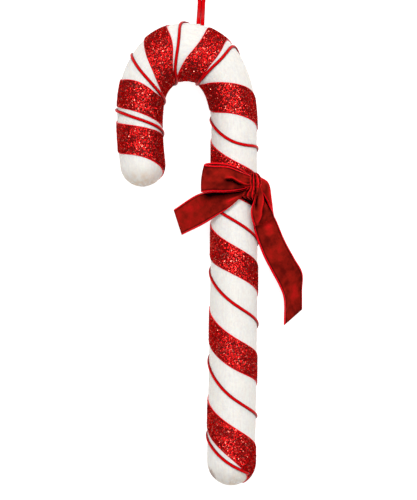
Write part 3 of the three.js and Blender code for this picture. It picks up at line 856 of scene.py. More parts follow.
class CANE_OT_hanger(bpy.types.Operator):
    """Narrow satin ribbon from the crown, laid down on the table in a long loop"""

    bl_idname = "cane.hanger"
    bl_label = "Hanger"

    def execute(self, context):
        settings = context.scene.cane_cord
        route = self.route()
        path = through(route, np.linspace(0, 1, HANGER_STEPS + 1))
        along = unit(np.gradient(path, axis=0))
        across = unit(np.stack([along[:, 1], -along[:, 0], np.zeros(len(along))], axis=1))
        up = unit(np.cross(across, along))
        angles = 2 * np.pi * (np.arange(HANGER_SIDES) + 0.5) / HANGER_SIDES
        # A flat ribbon: a rounded box in section.
        half_width = settings.hanger_width / MM / 2
        wide = half_width * signed_power(np.cos(angles), HANGER_SQUARENESS[0])
        thick = HANGER_THICKNESS / 2 * signed_power(np.sin(angles), HANGER_SQUARENESS[1])
        rings = above(ring_points(path, (across, wide), (up, thick)), TABLE_GAP)
        threads = thread_marks(path, wide)
        hanger = new_piece(
            "hanger_ribbon", stacked(rings, path[0], path[-1]),
            tube_faces(len(path), HANGER_SIDES), [hanger_satin(settings)],
            ["hanger_loop"],
            marks={"thread_mm": threads, "side": np.abs(threads[:, 0]) / half_width})
        return {"FINISHED"}

    def route(self):
        """Up one strand and back down the other."""
        y, z, half = np.array(HANGER_ROUTE).T
        x = HANGER_X + HANGER_LEAN * (y - y[0])
        skew = HANGER_SKEW * smoothstep(-y, -HANGER_SKEW_BELOW, -y[0])
        up = np.stack([x - half, y + skew, z], axis=1)
        down = np.stack([x + half, y - skew, z], axis=1)[::-1]
        return np.vstack([up, down[1:]])


# ------------------------------------------------------------------ foam cane


def frosted_foam(settings):
    """Expanded polystyrene foam, moulded and dipped in a frosted coat: chalky white, with grains
    that catch small lights, painted shade in the hollows of its relief, and a warmer, darker
    tint in patches on the two round ends."""
    material, tree = new_material("moulded polystyrene foam, frosted")
    place = add_node(tree, "ShaderNodeTexCoord").outputs["Object"]
    size = settings.grain / MM
    grains = add_node(tree, "ShaderNodeTexVoronoi", {"Vector": place, "Scale": per_metre(size)})
    clumps = add_node(tree, "ShaderNodeTexNoise", {
        "Vector": place, "Scale": per_metre(size * CLUMP_GRAINS), "Detail": 3.0, "Roughness": 0.65})
    patches = add_node(tree, "ShaderNodeTexNoise", {
        "Vector": place, "Scale": per_metre(COAT_PATCH), "Detail": 2.0})
    # Crinkles of the dried coat, measured in millimetres round and along the cane.
    skin = add_node(tree, "ShaderNodeAttribute", attribute_name="skin_mm")
    stretched = add_node(tree, "ShaderNodeVectorMath", {
        0: skin.outputs["Vector"], 1: (1 / CRINKLE[0], 1 / CRINKLE[1], 0.0)}, operation="MULTIPLY")
    crinkles = add_node(tree, "ShaderNodeTexNoise", {
        "Vector": stretched.outputs["Vector"], "Scale": 1.0, "Detail": 2.0})
    relief = add_node(tree, "ShaderNodeMath", {
        0: clumps.outputs["Fac"], 1: crinkles.outputs["Fac"]}, operation="MULTIPLY")
    # Painted shade: the coat is coloured darker where its relief is low, the same relief that the bump
    # below sinks.
    depth = add_node(
        tree, "ShaderNodeValToRGB", {"Fac": relief.outputs[0]},
        stops=[(0.16, settings.hollows), (0.3, settings.coat)])
    ends = add_node(tree, "ShaderNodeAttribute", attribute_name="end_tint")
    uneven = add_node(tree, "ShaderNodeMath", {
        0: ends.outputs["Fac"], 1: patches.outputs["Fac"]}, operation="MULTIPLY")
    colour = add_node(tree, "ShaderNodeMix", {
        "Factor": uneven.outputs[0], "A": depth.outputs["Color"],
        "B": opaque(settings.end_tint)}, data_type="RGBA")
    glint = add_node(tree, "ShaderNodeMapRange", {
        "Value": grains.outputs["Color"], "To Min": 0.35, "To Max": 0.85})
    fine = add_node(tree, "ShaderNodeBump", {
        "Height": grains.outputs["Distance"], "Strength": 0.5, "Distance": 0.12 * MM})
    bump = add_node(tree, "ShaderNodeBump", {
        "Height": relief.outputs[0], "Strength": 0.6, "Distance": 0.4 * MM,
        "Normal": fine.outputs["Normal"]})
    # A brownish patch near the foot's end, ragged at its rim.
    glue = add_node(tree, "ShaderNodeAttribute", attribute_name="glue")
    with_foot_patch = add_node(tree, "ShaderNodeMix", {
        "Factor": glue.outputs["Fac"], "A": colour.outputs["Result"],
        "B": opaque(settings.glue)}, data_type="RGBA")
    shader = add_node(tree, "ShaderNodeBsdfPrincipled", {
        "Base Color": with_foot_patch.outputs["Result"], "Roughness": glint.outputs["Result"], "IOR": 1.5,
        "Specular IOR Level": 0.3, "Subsurface Weight": 0.5,
        "Subsurface Radius": (1.0, 0.85, 0.7), "Subsurface Scale": 4 * MM,
        "Sheen Weight": 0.12, "Sheen Roughness": 0.5, "Sheen Tint": opaque(settings.rim),
        "Normal": bump.outputs["Normal"]})
    finish_surface(tree, shader)
    return material


class CANE_OT_foam(bpy.types.Operator):
    """The frosted foam cane, with soft lumps in its coat and gathers at its two round ends"""

    bl_idname = "cane.foam"
    bl_label = "Foam cane"

    def execute(self, context):
        settings = context.scene.cane_foam
        tip_dome = cane_halves(0)[0] * math.pi / 2
        foot_dome = cane_halves(CANE_LENGTH)[0] * math.pi / 2
        rings = round((CANE_LENGTH + tip_dome + foot_dome) / FOAM_STEP)
        stations = np.linspace(-tip_dome, CANE_LENGTH + foot_dome, rings + 2)[1:-1]
        angles = 2 * np.pi * np.arange(FOAM_SIDES) / FOAM_SIDES
        bare = on_cane(stations[:, None], angles[None])
        lump = settings.lump_height / MM
        small_lumps = SMALL_LUMP_SHARE * grain(bare, SMALL_LUMP_SIZE, seed=31)
        lift = lump * (grain(bare, LUMP_SIZE) + small_lumps - LUMP_LOWERING)
        over_end = np.maximum(-stations / tip_dome, (stations - CANE_LENGTH) / foot_dome)
        wander = GATHER_WANDER * grain(bare, GATHER_WANDER_SIZE, seed=57)
        ridges = np.abs(np.sin(angles * GATHERS / 2 + wander))
        gathers = smoothstep(over_end, *GATHER_OVER)[:, None] * (1 - ridges) ** 2
        lift = lift - GATHER_DEPTH * gathers
        skin = above(on_cane(stations[:, None], angles[None], lift), FOAM_FLOOR)
        ends = [on_cane(-tip_dome, 0.0), on_cane(CANE_LENGTH + foot_dome, 0.0)]
        # The end tint: random patches over each round end, with painted shade added in the gathers'
        # creases.
        patches = TINT_MEAN + TINT_PATCHES * grain(bare, TINT_PATCH_SIZE, seed=77)
        tint = smoothstep(over_end, *TINT_OVER)[:, None] * (
            np.clip(patches, 0, TINT_MOST) + TINT_IN_CREASES * gathers)
        skin_mm = np.zeros((skin.shape[0], FOAM_SIDES, 3))
        skin_mm[..., 0] = np.abs(angles - np.pi) * CANE_RADIUS[0][1]
        skin_mm[..., 1] = stations[:, None]
        # A brownish patch near the foot's end, past the shaft and towards the hook's gap, with a
        # ragged rim.
        from_foot_patch = np.hypot(
            (stations[:, None] - CANE_LENGTH - FOOT_PATCH_PAST_END) / FOOT_PATCH_LENGTH,
            (angles - FOOT_PATCH_ANGLE) / FOOT_PATCH_SPREAD)
        ragged = FOOT_PATCH_RAGGED * grain(skin, FOOT_PATCH_RAGGED_SIZE, seed=91)
        glue = FOOT_PATCH_STRENGTH * smoothstep(ragged - from_foot_patch, *FOOT_PATCH_FADES_OVER)
        new_piece(
            "frosted_cane", stacked(skin, ends), tube_faces(rings, FOAM_SIDES),
            [frosted_foam(settings)], ["cane_body"],
            marks={"end_tint": np.append(tint, [1.0, 1.0]), "glue": np.append(glue, [0.0, 0.0]),
                   "skin_mm": stacked(skin_mm, np.zeros((2, 3)))})
        return {"FINISHED"}


# ------------------------------------------------------------------ glitter ribbon


def glitter_web(settings):
    """Polyester ribbon, woven and coated with glue: dark red and rough where no flake covers it."""
    material, tree = new_material("woven polyester ribbon, glue coated")
    place = add_node(tree, "ShaderNodeTexCoord").outputs["Object"]
    lumps = add_node(tree, "ShaderNodeTexNoise", {
        "Vector": place, "Scale": per_metre(GLUE_LUMP), "Detail": 2.0})
    # Painted shade: the glue's colour is dimmed in the hollows of its lumps, the same lumps that the
    # bump below raises.
    colour = add_node(
        tree, "ShaderNodeValToRGB", {"Fac": lumps.outputs["Fac"]},
        stops=[(0.35, tuple(c * GLUE_SHADE for c in settings.glue)), (0.65, settings.glue)])
    bump = add_node(tree, "ShaderNodeBump", {
        "Height": lumps.outputs["Fac"], "Strength": 0.8, "Distance": 0.3 * MM})
    shader = add_node(tree, "ShaderNodeBsdfPrincipled", {
        "Base Color": colour.outputs["Color"], "Roughness": 0.6, "IOR": 1.5,
        "Specular IOR Level": 0.2, "Normal": bump.outputs["Normal"]})
    finish_surface(tree, shader)
    return material


def film_flakes(settings):
    """Polyester film, metallised, lacquered red and cut into squares: each flake mirrors what it
    faces, so one that faces a light flashes and its neighbours stay dark."""
    material, tree = new_material("metallised polyester film, lacquered")
    flake = add_node(tree, "ShaderNodeAttribute", attribute_name="flake")
    colour = add_node(
        tree, "ShaderNodeValToRGB", {"Fac": flake.outputs["Fac"]},
        stops=[(0.0, settings.dark_flake), (0.5, settings.flake), (0.9, settings.flake),
               (0.96, settings.pale_flake)])
    shader = add_node(tree, "ShaderNodeBsdfPrincipled", {
        "Base Color": colour.outputs["Color"], "Metallic": 1.0, "Roughness": 0.36,
        "Specular Tint": opaque(linear("70100c"))})
    finish_surface(tree, shader)
    return material


def woven_selvedge(name, colour):
    """Satin selvedge, woven: smoother and brighter than what it borders, with fine cross ribs."""
    material, tree = new_material(name)
    place = add_node(tree, "ShaderNodeTexCoord").outputs["Object"]
    # Real threads are 0.1 mm apart; ribs of 0.5 mm are the finest that can show.
    ribs = add_node(tree, "ShaderNodeTexNoise", {
        "Vector": place, "Scale": per_metre(SELVEDGE_RIB), "Detail": 1.0})
    bump = add_node(tree, "ShaderNodeBump", {
        "Height": ribs.outputs["Fac"], "Strength": 0.4, "Distance": 0.1 * MM})
    shader = add_node(tree, "ShaderNodeBsdfPrincipled", {
        "Base Color": opaque(colour), "Roughness": 0.45, "IOR": 1.5,
        "Specular Tint": opaque(linear("ff3020")),
        "Normal": bump.outputs["Normal"]})
    finish_surface(tree, shader)
    return material


class CANE_OT_glitter_ribbon(bpy.types.Operator):
    """The wide ribbon wound along the whole cane, with a bright woven selvedge on both edges"""

    bl_idname = "cane.glitter_ribbon"
    bl_label = "Glitter ribbon"

    def execute(self, context):
        settings = context.scene.cane_glitter
        rows = round((STRIPE_END - STRIPE_START) * STRIPE_ROWS_PER_TURN) + 1
        turns = np.linspace(STRIPE_START, STRIPE_END, rows)
        tip, foot = stripe_edges(turns)
        inner_edge = 1 - STRIPE_SELVEDGE
        across = across_ribbon(STRIPE_COLUMNS, inner_edge, STRIPE_BORDER)
        station = tip[:, None] + (foot - tip)[:, None] * (across + 1) / 2
        angle = turn_angle(turns)[:, None]
        edge = np.abs(across)
        rise = STRIPE_SELVEDGE_RISE * smoothstep(edge - inner_edge, *STRIPE_RISES_OVER)
        pucker = STRIPE_PUCKER * grain(on_cane(station, angle), STRIPE_PUCKER_SIZE, seed=11)
        body = STRIPE_THICKNESS - STRIPE_EDGE_THICKNESS + rise
        outer_lift = STRIPE_EDGE_THICKNESS + body * rounded(across, STRIPE_SQUARENESS) + pucker
        outer = above(on_cane(station, angle, outer_lift), TABLE_GAP)
        inner = above(on_cane(station, angle, pucker), TABLE_GAP)
        faces, columns = sheet_faces(rows, len(across))
        is_selvedge = (edge[:-1] + edge[1:]) / 2 > inner_edge
        new_piece(
            "glitter_ribbon", stacked(outer, inner), faces,
            [glitter_web(settings),
             woven_selvedge("woven selvedge of the glitter ribbon",
                            context.scene.cane_velvet.selvedge)],
            ["glitter_stripe"], face_slots=is_selvedge[columns])
        return {"FINISHED"}


class CANE_OT_glitter_flakes(bpy.types.Operator):
    """Film flakes glued all over the ribbon between its selvedges, each leaning its own way"""

    bl_idname = "cane.glitter_flakes"
    bl_label = "Glitter flakes"

    def execute(self, context):
        settings = context.scene.cane_glitter
        draw = np.random.default_rng(settings.seed)
        turn, station = self.scatter(draw, settings.flake_count)
        count = len(turn)
        angle = turn_angle(turn)
        lift = STRIPE_THICKNESS + draw.uniform(*FLAKE_LIFTS, count)
        centre = on_cane(station, angle, lift)
        ahead = on_cane(station + STEP_ALONG, angle, lift) - centre
        round_about = on_cane(station, angle + STEP_ROUND, lift) - centre
        first = unit(ahead)
        normal = unit(np.cross(round_about, ahead))
        normal *= np.sign((normal * (centre - on_cane(station, angle))).sum(axis=1))[:, None]
        second = np.cross(normal, first)
        leans = draw.normal(0, settings.flake_tilt, (2, count))
        lean = np.tan(np.clip(leans, -FLAKE_MOST_LEAN, FLAKE_MOST_LEAN))
        normal = unit(normal + first * lean[0][:, None] + second * lean[1][:, None])
        first = unit(first - normal * (first * normal).sum(axis=1)[:, None])
        second = np.cross(normal, first)
        radius = settings.flake_width / MM / math.sqrt(2) * draw.uniform(*FLAKE_SIZES, count)
        spin = draw.uniform(0, 2 * np.pi, count)
        corner = spin[:, None] + np.arange(4) * np.pi / 2
        reach = radius[:, None]
        points = ring_points(
            centre, (first, np.cos(corner) * reach), (second, np.sin(corner) * reach))
        points = above(points, FLAKE_FLOOR)
        faces = np.arange(4 * count).reshape(-1, 4)
        self.add_flakes(context, points.reshape(-1, 3), faces, np.repeat(draw.random(count), 4))
        return {"FINISHED"}

    def scatter(self, draw, count):
        """Turns and stations spread evenly over the ribbon between its selvedges."""
        grid = np.linspace(STRIPE_START, STRIPE_END, SCATTER_STEPS)
        tip, foot = stripe_edges(grid)
        angle = turn_angle(grid)
        pace = np.linalg.norm(np.diff(on_cane((tip + foot) / 2, angle), axis=0), axis=1)
        width = np.linalg.norm(on_cane(tip, angle) - on_cane(foot, angle), axis=1)
        weight = np.concatenate([[0], np.cumsum(pace * (width[1:] + width[:-1]) / 2)])
        turn = np.interp(draw.random(count) * weight[-1], weight, grid)
        inner = (1 - STRIPE_SELVEDGE) * FLAKE_INSET
        share = 0.5 + draw.uniform(-inner, inner, count) / 2
        t, f = np.interp(turn, grid, tip), np.interp(turn, grid, foot)
        return turn, t + (f - t) * share

    def add_flakes(self, context, points, faces, shade):
        """One flat-shaded mesh of every flake, with a shade for each flake."""
        mesh = bpy.data.meshes.new("glitter_flakes")
        mesh.from_pydata((points * MM).tolist(), [], faces.tolist())
        mesh.attributes.new("flake", "FLOAT", "POINT").data.foreach_set(
            "value", shade.astype(np.float32))
        mesh.materials.append(film_flakes(context.scene.cane_glitter))
        flakes = bpy.data.objects.new("glitter_flakes", mesh)
        context.scene.collection.objects.link(flakes)
        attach(flakes, "root")


# ------------------------------------------------------------------ satin cord


def satin_cover(settings):
    """Rattail cord, a satin weave over a soft core: a clear shine along the top of the cord, with
    faint ribs where the cover twists round it."""
    material, tree = new_material("woven satin cord")
    threads = add_node(tree, "ShaderNodeAttribute", attribute_name="thread_mm")
    # The cover's ribs are 0.6 mm apart, about twice the real spacing, so that they can show.
    ribs = add_node(tree, "ShaderNodeTexWave", {
        "Vector": threads.outputs["Vector"], "Scale": WAVES_PER_UNIT / CORD_RIB, "Distortion": 0.6},
        bands_direction="DIAGONAL")
    bump = add_node(tree, "ShaderNodeBump", {
        "Height": ribs.outputs["Fac"], "Strength": 0.45, "Distance": 0.1 * MM})
    # Painted shade: the cover's colour is dimmed towards its sides and on its underside.
    shader = add_node(tree, "ShaderNodeBsdfPrincipled", {
        "Base Color": shaded_sides(tree, settings.colour, dark_from=0.3).outputs["Color"],
        "Roughness": 0.36, "IOR": 1.5,
        "Specular IOR Level": 0.12, "Specular Tint": opaque(linear("ff1a10")),
        "Normal": bump.outputs["Normal"]})
    finish_surface(tree, shader)
    return material


class CANE_OT_satin_cord(bpy.types.Operator):
    """The thin cord wound in the gaps of the ribbon, climbing onto it where the turns close up"""

    bl_idname = "cane.satin_cord"
    bl_label = "Satin cord"

    def execute(self, context):
        settings = context.scene.cane_cord
        width, height = settings.width / MM, settings.height / MM
        steps = round((CORD_END - CORD_START) * CORD_STEPS_PER_TURN)
        turns = np.linspace(CORD_START, CORD_END, steps + 1)
        point, foot = self.middle(turns, height)
        along = unit(
            self.middle(turns + CORD_TANGENT_STEP, height)[0]
            - self.middle(turns - CORD_TANGENT_STEP, height)[0])
        up = point - foot
        up = unit(up - along * (up * along).sum(axis=1)[:, None])
        across = np.cross(along, up)
        a = 2 * np.pi * np.arange(CORD_SIDES) / CORD_SIDES
        high = np.sin(a) * height / 2
        high = np.where(high < 0, high * CORD_FLATTENED, high)
        rings = ring_points(point, (across, np.cos(a) * width / 2), (up, high))
        rings = above(rings, CORD_FLOOR)
        ends = rings[[0, -1]].mean(axis=1)
        # Painted shade: side is 0 on top of the cord, rises to 1 at its sides and is 1 all along its
        # underside.
        side = np.tile(np.where(np.sin(a) < 0, 1.0, np.abs(np.cos(a))), len(point))
        new_piece(
            "wound_cord", stacked(rings, ends), tube_faces(len(turns), CORD_SIDES),
            [satin_cover(settings)], ["satin_cord"],
            marks={"thread_mm": thread_marks(point, a * width / 2),
                   "side": np.append(side, [1.0, 1.0])})
        return {"FINISHED"}

    def middle(self, turns, height):
        """The cord's middle line, and the points of the foam under it."""
        station = np.array([smooth_through(CORD_KNOTS, t) for t in turns])
        angle = turn_angle(turns)
        ahead, behind = (on_cane(station + step, angle) for step in (STEP_ALONG, -STEP_ALONG))
        stretch = np.linalg.norm(ahead - behind, axis=1) / (2 * STEP_ALONG)
        next_tip = stripe_edges(turns + 1)[0]
        to_tip_edge = np.where(turns + 1 <= STRIPE_END, next_tip - station, np.inf)
        room = np.minimum(station - stripe_edges(turns)[1], to_tip_edge) * stretch * CORD_SLANT
        level = smoothstep(-np.sin(angle), *CORD_LEVEL)
        climb = CLIMB_HEIGHT * (1 - smoothstep(room, CLIMB_NEAR, CLIMB_FAR)) * (1 - level)
        lift = height / 2 - CORD_SINKS + climb
        return on_cane(station, angle, lift), on_cane(station, angle)


# ------------------------------------------------------------------ velvet bow


def cut_velvet(settings):
    """Velvet ribbon, woven with a cut pile: deep and dull seen head on, and bright at a glancing angle
    where the pile's tips are seen from the side, with painted shade in its creases and painted
    highlights along its folds and edges."""
    material, tree = new_material("cut-pile velvet")
    place = add_node(tree, "ShaderNodeTexCoord").outputs["Object"]
    lean = add_node(tree, "ShaderNodeTexNoise", {
        "Vector": place, "Scale": per_metre(PILE_PATCH), "Detail": 3.0, "Roughness": 0.6})
    # Pile tufts are about 0.2 mm apart; 0.6 mm is the finest that can show.
    tufts = add_node(tree, "ShaderNodeTexNoise", {
        "Vector": place, "Scale": per_metre(PILE_TUFT), "Detail": 2.0})
    painted_light = add_node(tree, "ShaderNodeAttribute", attribute_name="painted_light_and_shade")
    # The painted light runs from -1, painted shade in a crease, to 1, a painted highlight on a ridge,
    # and random patches of the pile's own lean shift it.
    shifted = add_node(tree, "ShaderNodeMath", {
        0: lean.outputs["Fac"], 1: PILE_PATCHINESS, 2: painted_light.outputs["Fac"]},
        operation="MULTIPLY_ADD")
    place_on_ramp = add_node(tree, "ShaderNodeMapRange", {
        "Value": shifted.outputs[0], "From Min": PILE_PATCHINESS / 2 - 1,
        "From Max": PILE_PATCHINESS / 2 + 1})
    # Painted shade and light: crease colour at the ramp's bottom, shaded pile, plain pile, and the
    # ridge colour as a painted highlight at its top.
    colour = add_node(
        tree, "ShaderNodeValToRGB", {"Fac": place_on_ramp.outputs["Result"]},
        stops=[(0.08, settings.crease), (0.42, settings.painted_shade_pile), (0.56, settings.pile),
               (0.98, settings.ridge)])
    bump = add_node(tree, "ShaderNodeBump", {
        "Height": tufts.outputs["Fac"], "Strength": 0.5, "Distance": 0.25 * MM})
    shader = add_node(tree, "ShaderNodeBsdfPrincipled", {
        "Base Color": colour.outputs["Color"], "Roughness": 0.9, "IOR": 1.4,
        "Specular IOR Level": 0.0,
        "Sheen Weight": 0.7, "Sheen Roughness": 0.25, "Sheen Tint": opaque(settings.sheen),
        "Normal": bump.outputs["Normal"]})
    finish_surface(tree, shader)
    return material


def shared_velvet(settings):
    """The bow's two materials, made once and shared by its pieces."""
    velvet = bpy.data.materials.get("cut-pile velvet") or cut_velvet(settings)
    name = "woven selvedge of the velvet ribbon"
    selvedge = bpy.data.materials.get(name) or woven_selvedge(name, settings.selvedge)
    return [velvet, selvedge]


def keep_off_shaft(points):
    """Moves points out from the shaft's axis until they clear what is wound round it."""
    station = CANE_LENGTH - (points[..., 1] - CANE_LINE[-1][1])
    along = np.clip(station, 0, CANE_LENGTH)
    centre = through(CANE_LINE, np.interp(along, LINE_STATIONS, LINE_PLACES))
    half_width, half_height = cane_halves(along)
    from_tie = np.abs(station - sum(TIE_STATIONS) / 2)
    clearance = OVER_TIE + (OVER_WINDINGS - OVER_TIE) * smoothstep(from_tie, *TIE_REACH)
    axis_height = CANE_CLEARANCE + half_height
    away = np.stack([points[..., 0] - centre[..., 0], points[..., 2] - axis_height], axis=-1)
    reach = np.linalg.norm(away, axis=-1)
    away *= (np.maximum(reach, half_width + clearance) / reach)[..., None]
    x, z = centre[..., 0] + away[..., 0], axis_height + away[..., 1]
    return np.stack([x, points[..., 1], z], axis=-1)


def velvet_ribbon(name, rows, shape, settings, replaces):
    """A velvet ribbon through rows of its two edges. shape(u, v) gives how far it lifts off their
    flat and the light and shade painted on it, from -1, painted shade in a crease, to 1, a
    painted highlight on a ridge: u runs from 0 to 1 along it and v from -1 to 1 across."""
    inner_edge = 1 - 2 * settings.selvedge_width / (VELVET_WIDTH * MM)
    v = across_ribbon(VELVET_COLUMNS, inner_edge, VELVET_BORDER)
    edges = [np.array([row[side] for row in rows]) for side in (0, 1)]
    length = steps_along(through(edges[0] / 2 + edges[1] / 2, LINE_PLACES))[-1]
    u = np.linspace(0, 1, round(length / VELVET_STEP) + 1)
    a, b = (through(edge, u) for edge in edges)
    ahead = [through(edge, u + RIBBON_TANGENT_STEP) for edge in edges]
    behind = [through(edge, u - RIBBON_TANGENT_STEP) for edge in edges]
    along = unit(ahead[0] + ahead[1] - behind[0] - behind[1])
    normal = unit(np.cross(along, b - a))[:, None]
    share = ((v + 1) / 2)[None, :, None]
    lift, painted_light = np.broadcast_arrays(*shape(u[:, None], v[None]))
    # Painted shade: a thin dark line just inside each selvedge.
    edge_shade = crease(np.abs(v) - inner_edge + EDGE_SHADE_IN, *EDGE_SHADE_WIDTHS)
    painted_light = np.clip(painted_light - EDGE_PAINTED_SHADE * edge_shade, -1, 1)
    point = a[:, None] * (1 - share) + b[:, None] * share + normal * lift[..., None]
    rise = SELVEDGE_RISE * smoothstep(np.abs(v) - inner_edge, *SELVEDGE_RISES_OVER)
    half = (settings.thickness / MM / 2 + rise) * rounded(v, VELVET_SQUARENESS, VELVET_THINNEST)
    half = half[None, :, None]
    low = keep_off_shaft(point - normal * half)
    high = low + normal * 2 * half
    faces, columns = sheet_faces(len(u), len(v))
    is_selvedge = (np.abs(v[:-1]) + np.abs(v[1:])) / 2 > inner_edge
    piece = new_piece(
        name, above(stacked(high, low), TABLE_GAP), faces, shared_velvet(settings),
        replaces, face_slots=is_selvedge[columns], marks={"painted_light_and_shade": np.tile(painted_light.ravel(), 2)})
    return piece


def crease(distance, before, after):
    """A fold line's profile: 1 on the line, falling to 0 over its two widths."""
    return bell(distance, np.where(distance < 0, before, after))


class Fold(NamedTuple):
    """A fold of a velvet ribbon. Places run from 0 to 1 along the ribbon and from -1 to 1 across."""

    line: list  # its (place along, place across) points
    widths: tuple  # on its two sides, as places across
    lift: float = 0.0  # how far it lifts the ribbon, in millimetres
    painted_light: float = 0.0  # the light and shade it paints: below 0 painted shade as in a crease, above 0 a painted highlight as on a ridge
    grows: tuple = None  # the places along between which it grows
    fades: tuple = None  # and those between which it fades
    spot: tuple = None  # of a short one: the place along, and its reach before and after
    opens: tuple = None  # of one that opens out at the knot: how much wider, and over what reach

    def strength(self, u, v):
        """From 0 to 1, at places along and across."""
        widths = self.widths
        if self.opens:
            wider, reach = self.opens
            widths = [width * (1 + wider * np.exp(-u / reach)) for width in widths]
        profile = crease(v - np.interp(u, *zip(*self.line)), *widths)
        if self.spot:
            profile = profile * crease(u - self.spot[0], *self.spot[1:])
        if self.grows:
            profile = profile * smoothstep(u, *self.grows)
        if self.fades:
            profile = profile * (1 - smoothstep(u, *self.fades))
        return profile


def straight(across):
    """A fold line that keeps its place across the ribbon."""
    return [(0.5, across)]


def beside(line, shift):
    """A fold line moved across the ribbon."""
    return [(along, across + shift) for along, across in line]


def folded(folds, u, v):
    """The lift and the painted light and shade that folds give together."""
    strengths = [fold.strength(u, v) for fold in folds]
    lift = sum(fold.lift * strength for fold, strength in zip(folds, strengths))
    painted_light = sum(fold.painted_light * strength for fold, strength in zip(folds, strengths))
    return lift, painted_light


WHOLE_WIDTH = (math.inf, math.inf)
LOOP_BACK = (0.55, 0.62)  # the places along between which a loop's back layer starts

# The left loop: its front layer has the folds and the gathers, and its back layer a painted highlight
# along its rim.
LEFT_BULGE = 1.6
LEFT_BULGE_GROWS = (0, 0.25)
LEFT_GATHER = 0.4
LEFT_GATHERS = 3.5  # half waves from the middle to an edge
LEFT_GATHER_REACH = 0.09
# Painted light on the gathers: highlights on their crests, painted shade between them.
LEFT_GATHER_PAINTED_LIGHT = 0.5
LEFT_FRONT_ENDS = (0.45, 0.6)
LEFT_SLIT = [(0.05, 0.74), (0.11, 0.57), (0.17, 0.28), (0.215, 0.04), (0.28, 0.12)]
LEFT_SLIT_ENDS = (0.22, 0.29)
LEFT_FRONT_FOLDS = [
    # The slit, sunk and painted into shade, the lip above it with a painted highlight, painted shade
    # on the pile below it, and a faint painted highlight near the loop's turn.
    Fold(LEFT_SLIT, (0.08, 0.14), lift=-3.6, painted_light=-1.6, fades=LEFT_SLIT_ENDS, opens=(1.4, 0.07)),
    Fold(beside(LEFT_SLIT, -0.2), (0.12, 0.09), lift=0.8, painted_light=0.75, fades=LEFT_SLIT_ENDS),
    Fold(beside(LEFT_SLIT, 0.28), (0.2, 0.25), painted_light=-0.28, fades=(0.24, 0.36)),
    Fold(straight(-0.42), (0.25, 0.25), painted_light=0.12, spot=(0.28, 0.09, 0.1)),
]
# A painted highlight along the back layer's rim.
LEFT_BACK_FOLDS = [Fold(straight(1.0), (0.14, 0.14), painted_light=1.2, grows=LOOP_BACK)]

# The right loop: a painted highlight runs along the narrow top of its ridge.
RIGHT_BULGE = 0.8
RIGHT_FRONT_ENDS = (0.38, 0.52)
RIGHT_RIDGE = [
    (0.05, 0.7), (0.09, 0.7), (0.185, 0.3), (0.26, -0.03), (0.335, -0.23), (0.42, -0.66),
]
RIGHT_RIDGE_WIDTHS = (0.26, 0.1)
RIGHT_HIGHLIGHT_WIDTHS = tuple(width / math.sqrt(2) for width in RIGHT_RIDGE_WIDTHS)
RIGHT_HOLLOW = [(0.05, 0.92), (0.14, 0.72), (0.2, 0.78), (0.26, 0.84)]
RIGHT_FRONT_FOLDS = [
    # The ridge, a painted highlight along its top, the dip beside it, the hollow at one edge and the
    # furrow; the last three are sunk and painted into shade.
    Fold(RIGHT_RIDGE, RIGHT_RIDGE_WIDTHS, lift=1.4),
    Fold(RIGHT_RIDGE, RIGHT_HIGHLIGHT_WIDTHS, painted_light=0.7),
    Fold(beside(RIGHT_RIDGE, 0.24), (0.12, 0.2), lift=-0.6, painted_light=-0.45, fades=(0.36, 0.44)),
    Fold(RIGHT_HOLLOW, (0.16, 0.12), lift=-3.2, painted_light=-1.5, fades=(0.22, 0.36)),
    Fold(straight(-0.47), (0.12, 0.14), lift=-2.6, painted_light=-1.4, fades=(0.16, 0.3)),
]
RIGHT_BACK_FOLDS = [
    # A painted highlight along the rim, and a back painted a little lighter all over.
    Fold(straight(1.0), (0.2, 0.16), painted_light=1.3, grows=LOOP_BACK),
    Fold(straight(0.0), WHOLE_WIDTH, painted_light=0.1, grows=LOOP_BACK),
]

# The tails: how high their edges wave, and how many half waves they have.
LEFT_TAIL_WAVE = 0.5
LEFT_TAIL_WAVES = 2
LEFT_TAIL_FOLDS = [
    # A raised fold with a painted highlight, a hollow with a little painted shade, painted shade under
    # the loop, and a far end painted lighter.
    Fold(straight(0.16), (0.2, 0.3), lift=1.4, painted_light=0.9, spot=(0.36, 0.1, 0.08)),
    Fold(straight(-0.25), (0.3, 0.25), lift=-1.6, painted_light=-0.3, fades=(0.3, 0.6)),
    Fold(straight(-0.95), (0.3, 0.34), lift=-0.8, painted_light=-1.7, fades=(0.6, 0.74)),
    Fold(straight(0.0), WHOLE_WIDTH, painted_light=0.22, grows=(0.6, 0.85)),
]

RIGHT_TAIL_WAVE = 0.6
RIGHT_TAIL_WAVES = 3
RIGHT_TAIL_FOLDS = [
    # One long fold, faintly painted lighter, and two painted highlights.
    Fold(straight(0.15), (0.3, 0.35), lift=1.2, painted_light=0.12, grows=(0.05, 0.2), fades=(0.5, 0.8)),
    Fold(straight(0.1), (0.5, 0.5), painted_light=0.25, spot=(0.31, 0.05, 0.06)),
    Fold(straight(0.1), (0.4, 0.5), painted_light=0.35, spot=(0.86, 0.08, 0.06)),
]


def left_loop_shape(u, v):
    """The front bulges, with one deep slit, sunk and painted into shade, that runs out of the knot
    under a raised lip.
    """
    lift, painted_light = folded(LEFT_FRONT_FOLDS, u, v)
    bulge = LEFT_BULGE * (1 - v * v) * smoothstep(u, *LEFT_BULGE_GROWS)
    gathers = LEFT_GATHER * np.cos(LEFT_GATHERS * np.pi * v) * np.exp(-u / LEFT_GATHER_REACH)
    front = 1 - smoothstep(u, *LEFT_FRONT_ENDS)
    back_painted_light = folded(LEFT_BACK_FOLDS, u, v)[1]
    return (lift + bulge + gathers) * front, (painted_light + LEFT_GATHER_PAINTED_LIGHT * gathers) * front + back_painted_light


